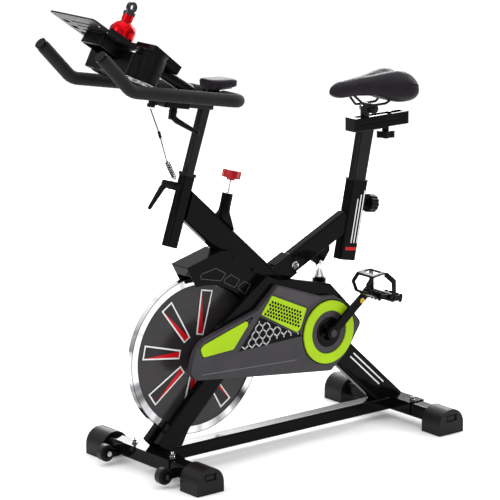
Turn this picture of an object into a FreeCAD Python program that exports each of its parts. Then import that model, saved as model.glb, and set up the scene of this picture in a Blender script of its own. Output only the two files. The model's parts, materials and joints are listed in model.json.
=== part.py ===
import FreeCAD, Part
import math
import os

# Spin bike with a chain-side cover, a braced X-shaped frame and a sliding saddle.
# Frame: +X towards the saddle end, +Z up, -Y is the rider's left, where the drive cover is.
# The origin lies on the floor at the middle of the overall length and width. Units: mm.

V = FreeCAD.Vector
Y_AXIS = V(0, 1, 0)
FIT = 0.05            # radial running clearance of a shaft in its hole
GAP = 0.4             # clearance between pieces that slide past each other

# Floor stance
HALF_LENGTH = 600.0
HALF_WIDTH = 260.0
CAP_X, CAP_Y, CAP_SIDE_Z = 92.0, 78.0, 28.0
STAB_X, STAB_Z = 50.0, 40.0
STAB_MID_Z = 42.0
FRONT_STAB = -329.0
REAR_STAB = HALF_LENGTH - CAP_X / 2
SADDLE_BOLT_Y = 88.0
SADDLE_TOP_Z = STAB_MID_Z + STAB_Z / 2 + 3.2     # top of the folded saddle plates

# Transport wheels on the front stabiliser
TRANSPORT_AXLE = V(-396, 0, 36)
TRANSPORT_R, TRANSPORT_HALF, TRANSPORT_Y = 24.0, 10.0, 136.0
EAR_OFFSET = TRANSPORT_HALF + 2.4

# Flywheel, brake and fork
WHEEL = V(-183, 0, 313)
WHEEL_R = 225.0
WHEEL_HALF = 9.5
RING_WIDTH = 24.0
WHEEL_AXLE_R = 10.0
LEG_IN, LEG_OUT, LEG_DEPTH = 12.5, 37.5, 60.0
BRAKE_TILT = 15.3
BRAKE_ROD_R = 4.0
PAD_REST_R = 232.0

# Drive
CRANK = V(239, 0, 323)
CRANK_LENGTH = 170.0
CRANK_ANGLE = 37.0
CRANK_IN, CRANK_OUT = 88.0, 102.0
CRANK_AXLE_R = 8.5
BIG_PULLEY_R = 87.0
DRIVE_RATIO = 3.0
SMALL_PULLEY_R = BIG_PULLEY_R / DRIVE_RATIO
BELT_IN, BELT_OUT, BELT_T = 53.0, 64.0, 3.0
PEDAL_PITCH = {"left": 12.0, "right": -70.0}

# Main beam and stays, as centre lines in the XZ plane
BEAM_FRONT = V(-226, 0, 761)
BEAM_REAR = V(548, 0, 43)
BEAM_DEPTH, BEAM_WIDTH, BEAM_R = 78.0, 40.0, 12.0
STAY_LOW, STAY_HIGH = V(73, 0, 483), V(366, 0, 620.5)
STAY_DEPTH, STAY_WIDTH = 60.0, 30.0
LEG_LOW, LEG_HIGH = V(-318, 0, 69), V(50.5, 0, 430)
WALL = 2.0

# Posts
FRONT_TILT = 18.5
FRONT_POST = V(-226.4, 0, 755)
FRONT_BOTTOM_Z, FRONT_TOP_Z = 635.0, 826.0
FRONT_DEPTH, FRONT_WIDTH, FRONT_CORNER = 38.0, 30.0, 5.0
BAR_POST_DEPTH, BAR_POST_WIDTH = 30.0, 22.0
BAR_POST_LOW_Z, BAR_POST_TOP_Z = 715.0, 1032.0
SEAT_TILT = 11.8
SEAT_POST = V(385, 0, 607)
SEAT_BOTTOM_Z, SEAT_TOP_Z = 503.0, 731.0
SEAT_DEPTH, SEAT_WIDTH, SEAT_CORNER = 60.0, 36.0, 7.0
SEAT_IN_DEPTH, SEAT_IN_WIDTH, SEAT_IN_LOW_Z = 50.0, 28.0, 612.0

# Handlebar
BAR_Y = 137.0
BAR_R, FOAM_R = 12.7, 18.0
HORN_TIP = V(-583, 0, 1215)
HORN_ELBOW = V(-487, 0, 1113)
BAR_REAR = V(-107, 0, 1041)
RAIL_TILT = 11.0
RAIL_BASE = V(-137, 0, 1020)
RAIL_SIDE, RAIL_LENGTH = 30.0, 196.0
CARRIAGE_LENGTH, CARRIAGE_SIDE = 80.0, 38.0
CARRIAGE_MID = 108.0      # along the rail from its rear end
TUBE_LOW, TUBE_HIGH = V(-190, 0, 1061.7), V(-352, 0, 1167)
TUBE_R = 16.0
TONGUE_LOW = 18.5          # underside of the tongue above the rail's axis

PAD_LOW = 1059.6
PAD_X, PAD_HALF_X, PAD_HALF_Y, PAD_THICK = -92.0, 45.0, 40.0, 30.0
BAR_CORNER, BAR_ELBOW = 46.0, 62.0

# Console
TRAY_FRONT, TRAY_REAR = V(-581, 0, 1309), V(-445, 0, 1212)
TRAY_LENGTH = TRAY_REAR.distanceToPoint(TRAY_FRONT)
TRAY_HALF = 102.0
CUP_TILT = 27.0
CUP_Y, CUP_R, CUP_BORE_R, CUP_DEPTH = 80.0, 42.0, 39.0, 88.0
CUP_MID = V(-394, 0, 1160)
HOUSING_HALF, HOUSING_FRONT, HOUSING_TOP = 97.0, 69.0, 20.0    # about the cups' axes
BOTTLE_R, BOTTLE_NECK_R = 36.5, 15.5
BOTTLE_SHOULDER, BOTTLE_NECK_LOW, BOTTLE_NECK_TOP = 122.0, 150.0, 168.0
DISPLAY_TOP, DISPLAY_FOOT = V(-335, 0, 1209), V(-249, 0, 1138)
DISPLAY_LENGTH = DISPLAY_TOP.distanceToPoint(DISPLAY_FOOT)

# Sensor cord between the rail's clip and the lever boss
CORD_R, COIL_R, COIL_GAP = 1.6, 5.0, 0.6
CORD_TOP = V(-325, 0, 1028)
CORD_MID = V(-296, 0, 956)
COIL_TOP = V(-272, 0, 876)
COIL_LOW = V(-243.5, 0, 819)

# Seat slide and saddle
CHANNEL_FRONT, CHANNEL_REAR = 389.0, 587.0
CHANNEL_LOW, CHANNEL_TOP, CHANNEL_WIDTH = 877.0, 914.0, 38.0
CHANNEL_WALL = 3.0
SEAT_KNOB_X = 519.0
STUB_X, STUB_R, STUB_TOP = 440.0, 13.0, 946.0
SADDLE_PIVOT = V(455, 0, 936)
SADDLE_NOSE, SADDLE_TAIL = 316.0, 592.0
SADDLE_HALF_WIDTH = 88.0

# pedals
PEDAL_HALF_X, PEDAL_IN_Y, PEDAL_OUT_Y = 43.0, 110.0, 204.0
PEDAL_MID_Y = (PEDAL_IN_Y + PEDAL_OUT_Y) / 2
CAGE_THICK, STRAP_THICK, STRAP_LOW_Z = 5.0, 3.0, 6.0

# drive cover: outlines in XZ, then depths in -Y
FRONT_SHELL = [(-255, 284), (-247, 320), (-236, 348), (-212, 372), (-17, 428), (34, 470),
               (55, 490), (219, 430), (262, 426), (316, 394), (358, 326), (301, 245),
               (250, 206), (16, 233), (-236, 264)]
BASE_SHELL = [(-240, 286), (-231, 341), (-141, 397), (31, 517), (72, 497), (132, 490),
              (261, 458), (318, 400), (378, 324), (340, 268), (262, 210), (20, 238), (-222, 267)]
COVER_IN, COVER_STEP, COVER_OUT = 43.0, 60.0, 78.0
SHELL_WALL = 2.5

# fender
FENDER_Y, FENDER_WALL = 36.0, 3.0
FENDER_TIP, FENDER_HEEL = (-233, 576), (-113, 607)
FENDER_ARC_R = 204.0
FENDER_SCREWS = ((-67.7, 582), (0, 531))

# strut, post lever and locking pin
STRUT_X, STRUT_TOP_Z = 270.0, 508.0
LEVER_Z, LEVER_STUD_R = 793.0, 5.0
PIN_Z, PIN_R, PIN_REACH = 668.0, 5.0, 5.6


# ---------------------------------------------------------------- helpers

def xz(x, z, y=0.0):
    return V(x, y, z)


def unit_between(start, end):
    step = end.sub(start)
    step.normalize()
    return step


def along(tilt):
    """Direction that leans back from vertical by tilt degrees."""
    angle = math.radians(tilt)
    return V(math.sin(angle), 0, math.cos(angle))


def across(direction):
    """In-plane direction square to the given one, pointing to its rear or lower side."""
    return V(direction.z, 0, -direction.x)


def step(point, direction, distance, y=0.0):
    return point.add(V(direction).multiply(distance)).add(V(0, y, 0))


def on_post(post, tilt, z):
    """Point of a leaning post's axis at height z."""
    return xz(post.x + (z - post.z) * math.tan(math.radians(tilt)), z)


def seat(shape, origin, z_dir, x_dir=Y_AXIS):
    """Put a shape built about the local Z axis at origin, with local X along x_dir."""
    y_dir = z_dir.cross(x_dir)
    turn = FreeCAD.Rotation(x_dir, y_dir, z_dir, "ZXY")
    shape.Placement = FreeCAD.Placement(origin, turn)
    return shape


def rounded_rect(width, depth, radius):
    """Closed wire centred on the origin of the local XY plane."""
    half_w, half_d = width / 2, depth / 2
    if radius <= 0:
        corners = [V(-half_w, -half_d), V(half_w, -half_d), V(half_w, half_d), V(-half_w, half_d)]
        return Part.makePolygon(corners + corners[:1])
    edges = []
    slant = radius * math.sqrt(0.5)
    last = None
    first = None
    for sx, sy, turn in ((1, -1, 0), (1, 1, 1), (-1, 1, 2), (-1, -1, 3)):
        cx, cy = sx * (half_w - radius), sy * (half_d - radius)
        ahead = V(cx, cy + sy * radius) if turn % 2 == 0 else V(cx + sx * radius, cy)
        behind = V(cx + sx * radius, cy) if turn % 2 == 0 else V(cx, cy + sy * radius)
        middle = V(cx + sx * slant, cy + sy * slant)
        if last is None:
            first = ahead
        else:
            edges.append(Part.LineSegment(last, ahead).toShape())
        edges.append(Part.Arc(ahead, middle, behind).toShape())
        last = behind
    edges.append(Part.LineSegment(last, first).toShape())
    return Part.Wire(edges)


def bar(width, depth, length, radius=0.0):
    return Part.Face(rounded_rect(width, depth, radius)).extrude(V(0, 0, length))


def hollow_bar(width, depth, length, wall, radius):
    inner = bar(width - 2 * wall, depth - 2 * wall, length + 2, max(radius - wall, 0.0))
    inner.translate(V(0, 0, -1))
    return bar(width, depth, length, radius).cut(inner)


def tube_between(start, end, width, depth, radius, wall=WALL):
    direction = unit_between(start, end)
    shape = hollow_bar(width, depth, start.distanceToPoint(end), wall, radius)
    return seat(shape, start, direction)


def block(x0, x1, y0, y1, z0, z1):
    return Part.makeBox(x1 - x0, y1 - y0, z1 - z0, V(x0, y0, z0))


def rod(start, end, radius):
    return Part.makeCylinder(radius, start.distanceToPoint(end), start, end.sub(start))


def pipe(start, end, radius, bore):
    direction = unit_between(start, end)
    hole = rod(step(start, direction, -1), step(end, direction, 1), bore)
    return rod(start, end, radius).cut(hole)


def y_disc(centre, radius, y0, y1):
    return Part.makeCylinder(radius, y1 - y0, V(centre.x, y0, centre.z), Y_AXIS)


def y_ring(centre, radius, bore, y0, y1):
    return y_disc(centre, radius, y0, y1).cut(y_disc(centre, bore, y0 - 1, y1 + 1))


def plate(points, y0, y1):
    """Flat plate in the XZ plane from corner points, between two Y values."""
    corners = [V(x, y0, z) for x, z in points]
    face = Part.Face(Part.makePolygon(corners + corners[:1]))
    return face.extrude(V(0, y1 - y0, 0))


def outline(points, y, corner):
    """Closed wire in the XZ plane with every corner rounded as far as its sides allow."""
    count = len(points)
    corners = [V(x, y, z) for x, z in points]
    edges = []
    ends = []
    for i in range(count):
        before, here, after = corners[i - 1], corners[i], corners[(i + 1) % count]
        to_before, to_after = unit_between(here, before), unit_between(here, after)
        half = to_before.getAngle(to_after) / 2
        room = 0.45 * min(here.distanceToPoint(before), here.distanceToPoint(after))
        cut_back = min(corner / math.tan(half), room)
        radius = cut_back * math.tan(half)
        bisector = to_before.add(to_after)
        bisector.normalize()
        middle = step(here, bisector, radius / math.sin(half) - radius)
        enter, leave = step(here, to_before, cut_back), step(here, to_after, cut_back)
        ends.append((enter, middle, leave))
    for i, (enter, middle, leave) in enumerate(ends):
        edges.append(Part.Arc(enter, middle, leave).toShape())
        edges.append(Part.LineSegment(leave, ends[(i + 1) % count][0]).toShape())
    return Part.Wire(edges)


def panel(wire, y0, y1):
    """Prism of a closed XZ wire between two Y values."""
    shape = Part.Face(wire).extrude(V(0, y1 - y0, 0))
    shape.translate(V(0, y0 - wire.Vertexes[0].Y, 0))
    return shape


def shrunk(wire, distance):
    return wire.makeOffset2D(-distance)


def bent_rod(points, radius, bend):
    """Round rod along straight runs joined by tangent arcs of the bend radius."""
    edges = []
    last = points[0]
    for i in range(1, len(points) - 1):
        here = points[i]
        back, on = unit_between(here, points[i - 1]), unit_between(here, points[i + 1])
        half = back.getAngle(on) / 2
        cut_back = bend / math.tan(half)
        bisector = back.add(on)
        bisector.normalize()
        middle = step(here, bisector, bend / math.sin(half) - bend)
        enter, leave = step(here, back, cut_back), step(here, on, cut_back)
        edges.append(Part.LineSegment(last, enter).toShape())
        edges.append(Part.Arc(enter, middle, leave).toShape())
        last = leave
    edges.append(Part.LineSegment(last, points[-1]).toShape())
    path = Part.Wire(edges)
    start_dir = points[1].sub(points[0])
    section = Part.Wire([Part.makeCircle(radius, points[0], start_dir)])
    return path.makePipeShell([section], True, False)


def mirrored(shape):
    return shape.mirror(V(0, 0, 0), Y_AXIS)


def fused(shapes):
    return shapes[0].fuse(shapes[1:]).removeSplitter()


def hex_head(base, direction, radius, height):
    """Hexagon head whose corners lie on the radius."""
    corners = []
    for i in range(7):
        angle = math.radians(60 * i)
        corners.append(V(radius * math.cos(angle), radius * math.sin(angle), 0))
    head = Part.Face(Part.makePolygon(corners)).extrude(V(0, 0, height))
    side = Y_AXIS if abs(direction.y) < 0.9 else V(1, 0, 0)
    return seat(head, base, direction, side)


def lobed_knob(base, direction, radius, height, lobes):
    """Star knob: a round core with round lobes and a domed hub on top."""
    core = Part.makeCylinder(radius * 0.74, height)
    shapes = [core]
    for i in range(lobes):
        angle = 2 * math.pi * i / lobes
        centre = V(radius * 0.72 * math.cos(angle), radius * 0.72 * math.sin(angle), 0)
        shapes.append(Part.makeCylinder(radius * 0.28, height, centre))
    knob = fused(shapes)
    side = Y_AXIS if abs(direction.y) < 0.9 else V(1, 0, 0)
    return seat(knob, base, direction, side)


# ---------------------------------------------------------------- frame

def main_beam():
    beam = tube_between(BEAM_FRONT, BEAM_REAR, BEAM_WIDTH, BEAM_DEPTH, BEAM_R)
    beam = beam.cut(front_post_space())
    beam = beam.cut(y_disc(CRANK, 23, -40, 40))
    beam = beam.cut(brake_axis_rod(BRAKE_ROD_R + 1, 250, 420))
    keep = block(-HALF_LENGTH, HALF_LENGTH, -60, 60, SADDLE_TOP_Z, 900)
    return fused([beam.common(keep), bottom_bracket_shell(), brake_guide(), strut_socket(),
                  stay_bracket()])


def front_post_space():
    """Everything in front of the rear face of the front post."""
    direction = along(FRONT_TILT)
    origin = on_post(FRONT_POST, FRONT_TILT, 560)
    origin = step(origin, across(direction), FRONT_DEPTH / 2 - 200)
    return seat(bar(120, 400, 400), origin, direction)


def rear_stay():
    stay = tube_between(STAY_LOW, STAY_HIGH, STAY_WIDTH, STAY_DEPTH, 5)
    stay = stay.cut(seat_tube_space()).cut(beam_space())
    return fused([stay, strut_lug()])


def beam_space():
    direction = unit_between(BEAM_FRONT, BEAM_REAR)
    solid = bar(200, BEAM_DEPTH, 1200)
    return seat(solid, step(BEAM_FRONT, direction, -40), direction)


def seat_tube_space():
    """Everything behind the front face of the seat tube."""
    direction = along(SEAT_TILT)
    origin = on_post(SEAT_POST, SEAT_TILT, 450)
    origin = step(origin, across(direction), 200 - SEAT_DEPTH / 2)
    return seat(bar(120, 400, 400), origin, direction)


def stay_bracket():
    """Two cheek plates that bolt the rear stay to the main beam."""
    direction = unit_between(STAY_LOW, STAY_HIGH)
    cheeks = []
    for side in (-1, 1):
        cheek = bar(4, STAY_DEPTH + 4, 88, 0)
        origin = step(STAY_LOW, direction, 8, side * (STAY_WIDTH / 2 + 2))
        cheeks.append(seat(cheek, origin, direction).cut(beam_core()))
    top = seat(bar(STAY_WIDTH + 8, 4, 58, 0), STAY_LOW, direction)
    lift = across(direction).multiply(-(STAY_DEPTH / 2 + 2))
    top.translate(lift.add(V(direction).multiply(38)))
    return fused(cheeks + [top.cut(beam_space())])


def beam_core():
    direction = unit_between(BEAM_FRONT, BEAM_REAR)
    solid = bar(BEAM_WIDTH, BEAM_DEPTH, 1200, BEAM_R)
    return seat(solid, step(BEAM_FRONT, direction, -40), direction)


def stay_bolts():
    direction = unit_between(STAY_LOW, STAY_HIGH)
    side = STAY_WIDTH / 2 + 4
    bolts = []
    for distance, drop, head in ((98, 5, 9),):
        centre = step(step(STAY_LOW, direction, distance), across(direction), drop)
        near, far = centre.add(V(0, -side, 0)), centre.add(V(0, side, 0))
        bolts.append(y_disc(near, head + 2, -side - 2, -side))
        bolts.append(hex_head(near.add(V(0, -2, 0)), V(0, -1, 0), head, 6))
        bolts.append(y_disc(far, head + 2, side, side + 2))
        bolts.append(hex_head(far.add(V(0, 2, 0)), V(0, 1, 0), head, 6))
    return [fused(bolts[i:i + 2]) for i in range(0, len(bolts), 2)]


def front_post_tube():
    low = on_post(FRONT_POST, FRONT_TILT, FRONT_BOTTOM_Z)
    high = on_post(FRONT_POST, FRONT_TILT, FRONT_TOP_Z)
    tube = tube_between(low, high, FRONT_WIDTH, FRONT_DEPTH, FRONT_CORNER)
    tube = fused([tube, lever_boss()])
    return tube.cut(lever_rod(0, 80, LEVER_STUD_R + FIT))


def sliding_bush(post, tilt, z_top, outer, corner, inner, lip):
    """Plastic collar in the mouth of an outer tube, with a lip that rests on its rim."""
    direction = along(tilt)
    top = on_post(post, tilt, z_top)
    width, depth = outer
    body = bar(width - 2 * WALL - 0.1, depth - 2 * WALL - 0.1, 62, corner - WALL + 0.2)
    body = seat(body, step(top, direction, -62), direction)
    rim = seat(bar(width + 3, depth + 3, lip, 4), top, direction)
    bore = bar(inner[0] + 2 * FIT, inner[1] + 2 * FIT, 120, 3)
    return fused([body, rim]).cut(seat(bore, step(top, direction, -80), direction))


def seat_tube():
    low = on_post(SEAT_POST, SEAT_TILT, SEAT_BOTTOM_Z)
    high = on_post(SEAT_POST, SEAT_TILT, SEAT_TOP_Z)
    tube = tube_between(low, high, SEAT_WIDTH, SEAT_DEPTH, SEAT_CORNER)
    tube = fused([tube, pin_boss()])
    return tube.cut(pin_rod(0, 80, PIN_R + FIT))


def fork_leg(side):
    leg = tube_between(LEG_LOW, LEG_HIGH, LEG_OUT - LEG_IN, LEG_DEPTH, 5)
    leg.translate(V(0, side * (LEG_IN + LEG_OUT) / 2, 0))
    return leg.common(block(-500, 300, -60, 60, SADDLE_TOP_Z, 600))


def fork_crown():
    """Block that joins the tops of both fork legs to the underside of the beam."""
    direction = unit_between(LEG_LOW, LEG_HIGH)
    crown = seat(bar(2 * LEG_OUT, 66, 34, 4), LEG_HIGH, direction)
    return crown.cut(beam_space())


def fork_gusset(side):
    """Triangular foot plate behind each leg, on the front saddle."""
    inner, outer = LEG_IN + 6, LEG_IN + 10
    base = SADDLE_TOP_Z
    points = [(-276, base), (-246, base), (-216, 118), (-230, 126)]
    y0, y1 = (inner, outer) if side > 0 else (-outer, -inner)
    gusset = plate(points, y0, y1)
    return gusset.cut(leg_space())


def fork():
    """Both legs with their crown, dropouts and foot gussets: one weldment."""
    shapes = [fork_crown()]
    for side in (-1, 1):
        shapes += [fork_leg(side), fork_gusset(side), dropout(side)]
    return fused(shapes)


def base_frame():
    """Base tube welded between the two folded saddles."""
    return fused([base_tube(), saddle_bracket(FRONT_STAB), saddle_bracket(REAR_STAB)])


def leg_space():
    return seat(bar(200, LEG_DEPTH, 800), step(LEG_LOW, unit_between(LEG_LOW, LEG_HIGH), -80),
                unit_between(LEG_LOW, LEG_HIGH))


def dropout(side):
    """Plate on the front edge of a leg that carries one flywheel bearing."""
    direction = unit_between(LEG_LOW, LEG_HIGH)
    foot = step(WHEEL, across(direction), 80)
    edge = across(direction)
    y0 = 20.0
    corners = []
    for run, lift in ((-44, 50), (44, 50), (26, -14), (-26, -14)):
        corner = step(step(foot, direction, run), edge, lift - 80)
        corners.append((corner.x, corner.z))
    body = plate(corners, y0, y0 + 10)
    boss = y_disc(WHEEL, 26, y0, y0 + 14)
    shape = fused([body, boss]).cut(y_disc(WHEEL, 16, 0, 60))
    return shape if side > 0 else mirrored(shape)


def wheel_bearing(side):
    shape = y_ring(WHEEL, 16, WHEEL_AXLE_R + FIT, 21, 33)
    return shape if side > 0 else mirrored(shape)


def brake_direction():
    return along(BRAKE_TILT)


def brake_axis_rod(radius, near, far):
    direction = brake_direction()
    return rod(step(WHEEL, direction, near), step(WHEEL, direction, far), radius)


def brake_guide():
    """Flared sleeve on top of the beam that guides the brake rod."""
    direction = brake_direction()
    sleeve = brake_axis_rod(16, 330, 461)
    flare = Part.makeCone(19, 16, 44)
    flare = seat(flare, step(WHEEL, direction, 381), direction)
    skirt = Part.makeCone(42, 17, 52)
    skirt = seat(skirt, step(WHEEL, direction, 358), direction)
    skirt = skirt.common(block(-400, 200, -19, 19, 500, 900))
    shape = fused([sleeve, flare, skirt])
    shape = shape.cut(beam_space()).cut(front_post_space())
    return shape.cut(brake_axis_rod(BRAKE_ROD_R + FIT, 300, 480))


def bottom_bracket_shell():
    return y_ring(CRANK, 23, 18, -40, 40)


def crank_bearing(side):
    shape = y_ring(CRANK, 18, CRANK_AXLE_R + FIT, 26, 38)
    return shape if side > 0 else mirrored(shape)


def base_tube():
    front = FRONT_STAB + STAB_X / 2 + 1
    rear = REAR_STAB - STAB_X / 2 - 1
    return tube_between(V(front, 0, 45), V(rear, 0, 45), 50, 38, 6)


def tube_across(x, half, width, height, radius):
    solid = bar(width, height, 2 * half, radius)
    return seat(solid, V(x, -half, STAB_MID_Z), Y_AXIS, V(1, 0, 0))


def stabiliser_tube(x):
    outer = tube_across(x, 236, STAB_X, STAB_Z, 7)
    inner = tube_across(x, 238, STAB_X - 2 * WALL, STAB_Z - 2 * WALL, 5)
    return outer.cut(inner)


def front_stabiliser():
    ears = transport_ears(-1) + transport_ears(1)
    return fused([stabiliser_tube(FRONT_STAB)] + ears)


def saddle_bracket(x):
    """Folded plate over the stabiliser that the frame is welded to."""
    outer = block(x - STAB_X / 2 - 3.2, x + STAB_X / 2 + 3.2, -108, 108, 29, SADDLE_TOP_Z)
    inner = tube_across(x, 120, STAB_X + 0.4, STAB_Z + 0.4, 7)
    below = block(x - STAB_X / 2 - 0.2, x + STAB_X / 2 + 0.2, -120, 120, 0, STAB_MID_Z)
    return outer.cut(inner).cut(below)


def saddle_bolts():
    """Four carriage bolts with nuts that hold both stabilisers in their saddles."""
    bolts = []
    for x in (FRONT_STAB, REAR_STAB):
        for y in (-SADDLE_BOLT_Y, SADDLE_BOLT_Y):
            washer = rod(V(x, y, SADDLE_TOP_Z), V(x, y, SADDLE_TOP_Z + 1.6), 9)
            nut = hex_head(V(x, y, SADDLE_TOP_Z + 1.6), V(0, 0, 1), 7.5, 6.5)
            end = rod(V(x, y, SADDLE_TOP_Z + 8), V(x, y, SADDLE_TOP_Z + 15), 4)
            bolts.append(fused([washer, nut, end]))
    return bolts


def end_cap(x, side):
    """Arched plastic foot with a recessed adjuster window in its outer face."""
    inner, outer = HALF_WIDTH - CAP_Y, HALF_WIDTH
    half = CAP_X / 2
    edges = [Part.LineSegment(V(x - half, inner, CAP_SIDE_Z), V(x - half, inner, 0)).toShape(),
             Part.LineSegment(V(x - half, inner, 0), V(x + half, inner, 0)).toShape(),
             Part.LineSegment(V(x + half, inner, 0), V(x + half, inner, CAP_SIDE_Z)).toShape(),
             Part.Arc(V(x + half, inner, CAP_SIDE_Z), V(x, inner, CAP_SIDE_Z + half),
                      V(x - half, inner, CAP_SIDE_Z)).toShape()]
    body = Part.Face(Part.Wire(edges)).extrude(V(0, outer - inner, 0))
    socket = tube_across(x, 236.4, STAB_X + 0.6, STAB_Z + 0.6, 7)
    body = body.cut(socket)
    body = body.cut(block(x - 20, x + 20, outer - 5, outer + 1, 38, 58))
    insert = block(x - 15, x + 12, outer - 5.5, outer - 2, 42, 54)
    body = fused([body, insert])
    return body if side > 0 else mirrored(body)


def transport_ears(side):
    """Pair of ears on the stabiliser's front face, one each side of the wheel."""
    y = side * TRANSPORT_Y
    face = FRONT_STAB - STAB_X / 2
    ears = []
    for edge in (y - EAR_OFFSET, y + EAR_OFFSET):
        ear = block(TRANSPORT_AXLE.x - 9, face + 1, edge - 2, edge + 2,
                    TRANSPORT_AXLE.z - 9, TRANSPORT_AXLE.z + 9)
        ears.append(ear.cut(y_disc(TRANSPORT_AXLE, 4, edge - 5, edge + 5)))
    return ears


def transport_bolt(side):
    y = side * TRANSPORT_Y
    reach = EAR_OFFSET + 2
    centre = TRANSPORT_AXLE
    shank = y_disc(centre, 4, y - reach, y + reach)
    near = hex_head(V(centre.x, y - reach, centre.z), V(0, -1, 0), 8, 6)
    far = hex_head(V(centre.x, y + reach, centre.z), V(0, 1, 0), 8, 6)
    return fused([shank, near, far])


def transport_wheel(side):
    y = side * TRANSPORT_Y
    tread = y_ring(TRANSPORT_AXLE, TRANSPORT_R, 4 + FIT, y - TRANSPORT_HALF, y + TRANSPORT_HALF)
    dish = y_ring(TRANSPORT_AXLE, 16, 9, y - TRANSPORT_HALF - 1, y - TRANSPORT_HALF + 3)
    far_dish = y_ring(TRANSPORT_AXLE, 16, 9, y + TRANSPORT_HALF - 3, y + TRANSPORT_HALF + 1)
    return tread.cut(dish).cut(far_dish)


# ---------------------------------------------------------------- drive cover

def cover_base():
    """Inner half of the drive cover, open where the front half closes it."""
    base = outline(BASE_SHELL, 0, 16)
    front = outline(FRONT_SHELL, 0, 16)
    body = panel(base, -COVER_STEP, -COVER_IN)
    body = body.cut(panel(shrunk(base, SHELL_WALL), -COVER_STEP + SHELL_WALL, -COVER_IN - SHELL_WALL))
    mouth = panel(shrunk(front, 2 * SHELL_WALL), -COVER_STEP - 1, -COVER_STEP + SHELL_WALL + 1)
    body = body.cut(mouth.common(panel(shrunk(base, SHELL_WALL), -COVER_STEP - 1, -COVER_IN)))
    body = body.cut(y_disc(CRANK, 26, -60, -30))
    return body.cut(y_disc(WHEEL, 30, -60, -30))


def cover_front():
    """Outer half of the drive cover."""
    front = outline(FRONT_SHELL, 0, 16)
    body = panel(front, -COVER_OUT, -COVER_STEP)
    body = body.cut(panel(shrunk(front, SHELL_WALL), -COVER_OUT + SHELL_WALL, -COVER_STEP + 1))
    return fused([body, hub_disc()]).cut(y_disc(CRANK, 24, -90, -50))


def ring_trim():
    return y_ring(CRANK, 92, 63, -COVER_OUT - 5, -COVER_OUT)


def hub_disc():
    return y_ring(CRANK, 62.6, 24, -COVER_OUT - 2, -COVER_OUT)


def accent_panel():
    points = [(-222, 352), (-208, 362), (-36, 412), (-106, 331), (-212, 326)]
    return panel(outline(points, 0, 9), -COVER_OUT - 1.5, -COVER_OUT)


def mesh_panel():
    """Raised grille plate with staggered round holes."""
    points = [(-6, 415), (33, 463), (158, 406), (134, 349), (122, 342)]
    wire = outline(points, 0, 3)
    body = panel(wire, -COVER_OUT - 2, -COVER_OUT)
    margin = panel(shrunk(wire, 5.5), -COVER_OUT - 3, -COVER_OUT + 1)
    holes = []
    slope = math.atan2(406 - 463, 158 - 33)
    row_step, hole_step = 9.6, 11.0
    for row in range(-8, 9):
        for column in range(-14, 15):
            shift = (row % 2) * hole_step / 2
            u, w = column * hole_step + shift, row * row_step
            x = 76 + u * math.cos(slope) - w * math.sin(slope)
            z = 404 + u * math.sin(slope) + w * math.cos(slope)
            hole = y_disc(V(x, 0, z), 3.1, -COVER_OUT - 3, -COVER_OUT + 1)
            if hole.common(margin).Volume > 0.999 * hole.Volume:
                holes.append(hole)
    return body.cut(Part.makeCompound(holes))


def belt():
    """Ribbed belt around both pulleys, a hair off each of them."""
    outer = belt_wire(BELT_T + 0.3)
    inner = belt_wire(0.3)
    loop = Part.Face(outer).cut(Part.Face(inner))
    loop = loop.extrude(V(0, BELT_OUT - BELT_IN, 0))
    loop.translate(V(0, -BELT_OUT, 0))
    return loop


def belt_wire(extra):
    big, small = BIG_PULLEY_R + extra, SMALL_PULLEY_R + extra
    line = CRANK.sub(WHEEL)
    heading = math.atan2(line.z, line.x)
    lean = math.acos((big - small) / line.Length)
    points = {}
    for name, centre, radius in (("big", CRANK, big), ("small", WHEEL, small)):
        for side in (-1, 1):
            angle = heading + side * (math.pi - lean)
            points[name, side] = V(centre.x + radius * math.cos(angle), 0,
                                   centre.z + radius * math.sin(angle))
    big_back = V(CRANK.x + big * math.cos(heading), 0, CRANK.z + big * math.sin(heading))
    small_tip = V(WHEEL.x - small * math.cos(heading), 0, WHEEL.z - small * math.sin(heading))
    return Part.Wire([
        Part.Arc(points["big", -1], big_back, points["big", 1]).toShape(),
        Part.LineSegment(points["big", 1], points["small", 1]).toShape(),
        Part.Arc(points["small", 1], small_tip, points["small", -1]).toShape(),
        Part.LineSegment(points["small", -1], points["big", -1]).toShape()])


# ---------------------------------------------------------------- fender and strut


def on_wheel(radius, degrees):
    angle = math.radians(degrees)
    return WHEEL.x + radius * math.cos(angle), WHEEL.z + radius * math.sin(angle)


def fender_side(y0, y1):
    low_front, low_mid, low_rear = (on_wheel(FENDER_ARC_R, a) for a in (95, 66, 38))
    path = [FENDER_TIP, FENDER_HEEL, (-75, 600), (40, 493), (34, 476), low_rear]
    corners = [V(x, y0, z) for x, z in path]
    edges = [Part.LineSegment(a, b).toShape() for a, b in zip(corners, corners[1:])]
    arc = [V(x, y0, z) for x, z in (low_rear, low_mid, low_front)]
    edges.append(Part.Arc(*arc).toShape())
    edges.append(Part.LineSegment(arc[2], corners[0]).toShape())
    return Part.Face(Part.Wire(edges)).extrude(V(0, y1 - y0, 0))


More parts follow.
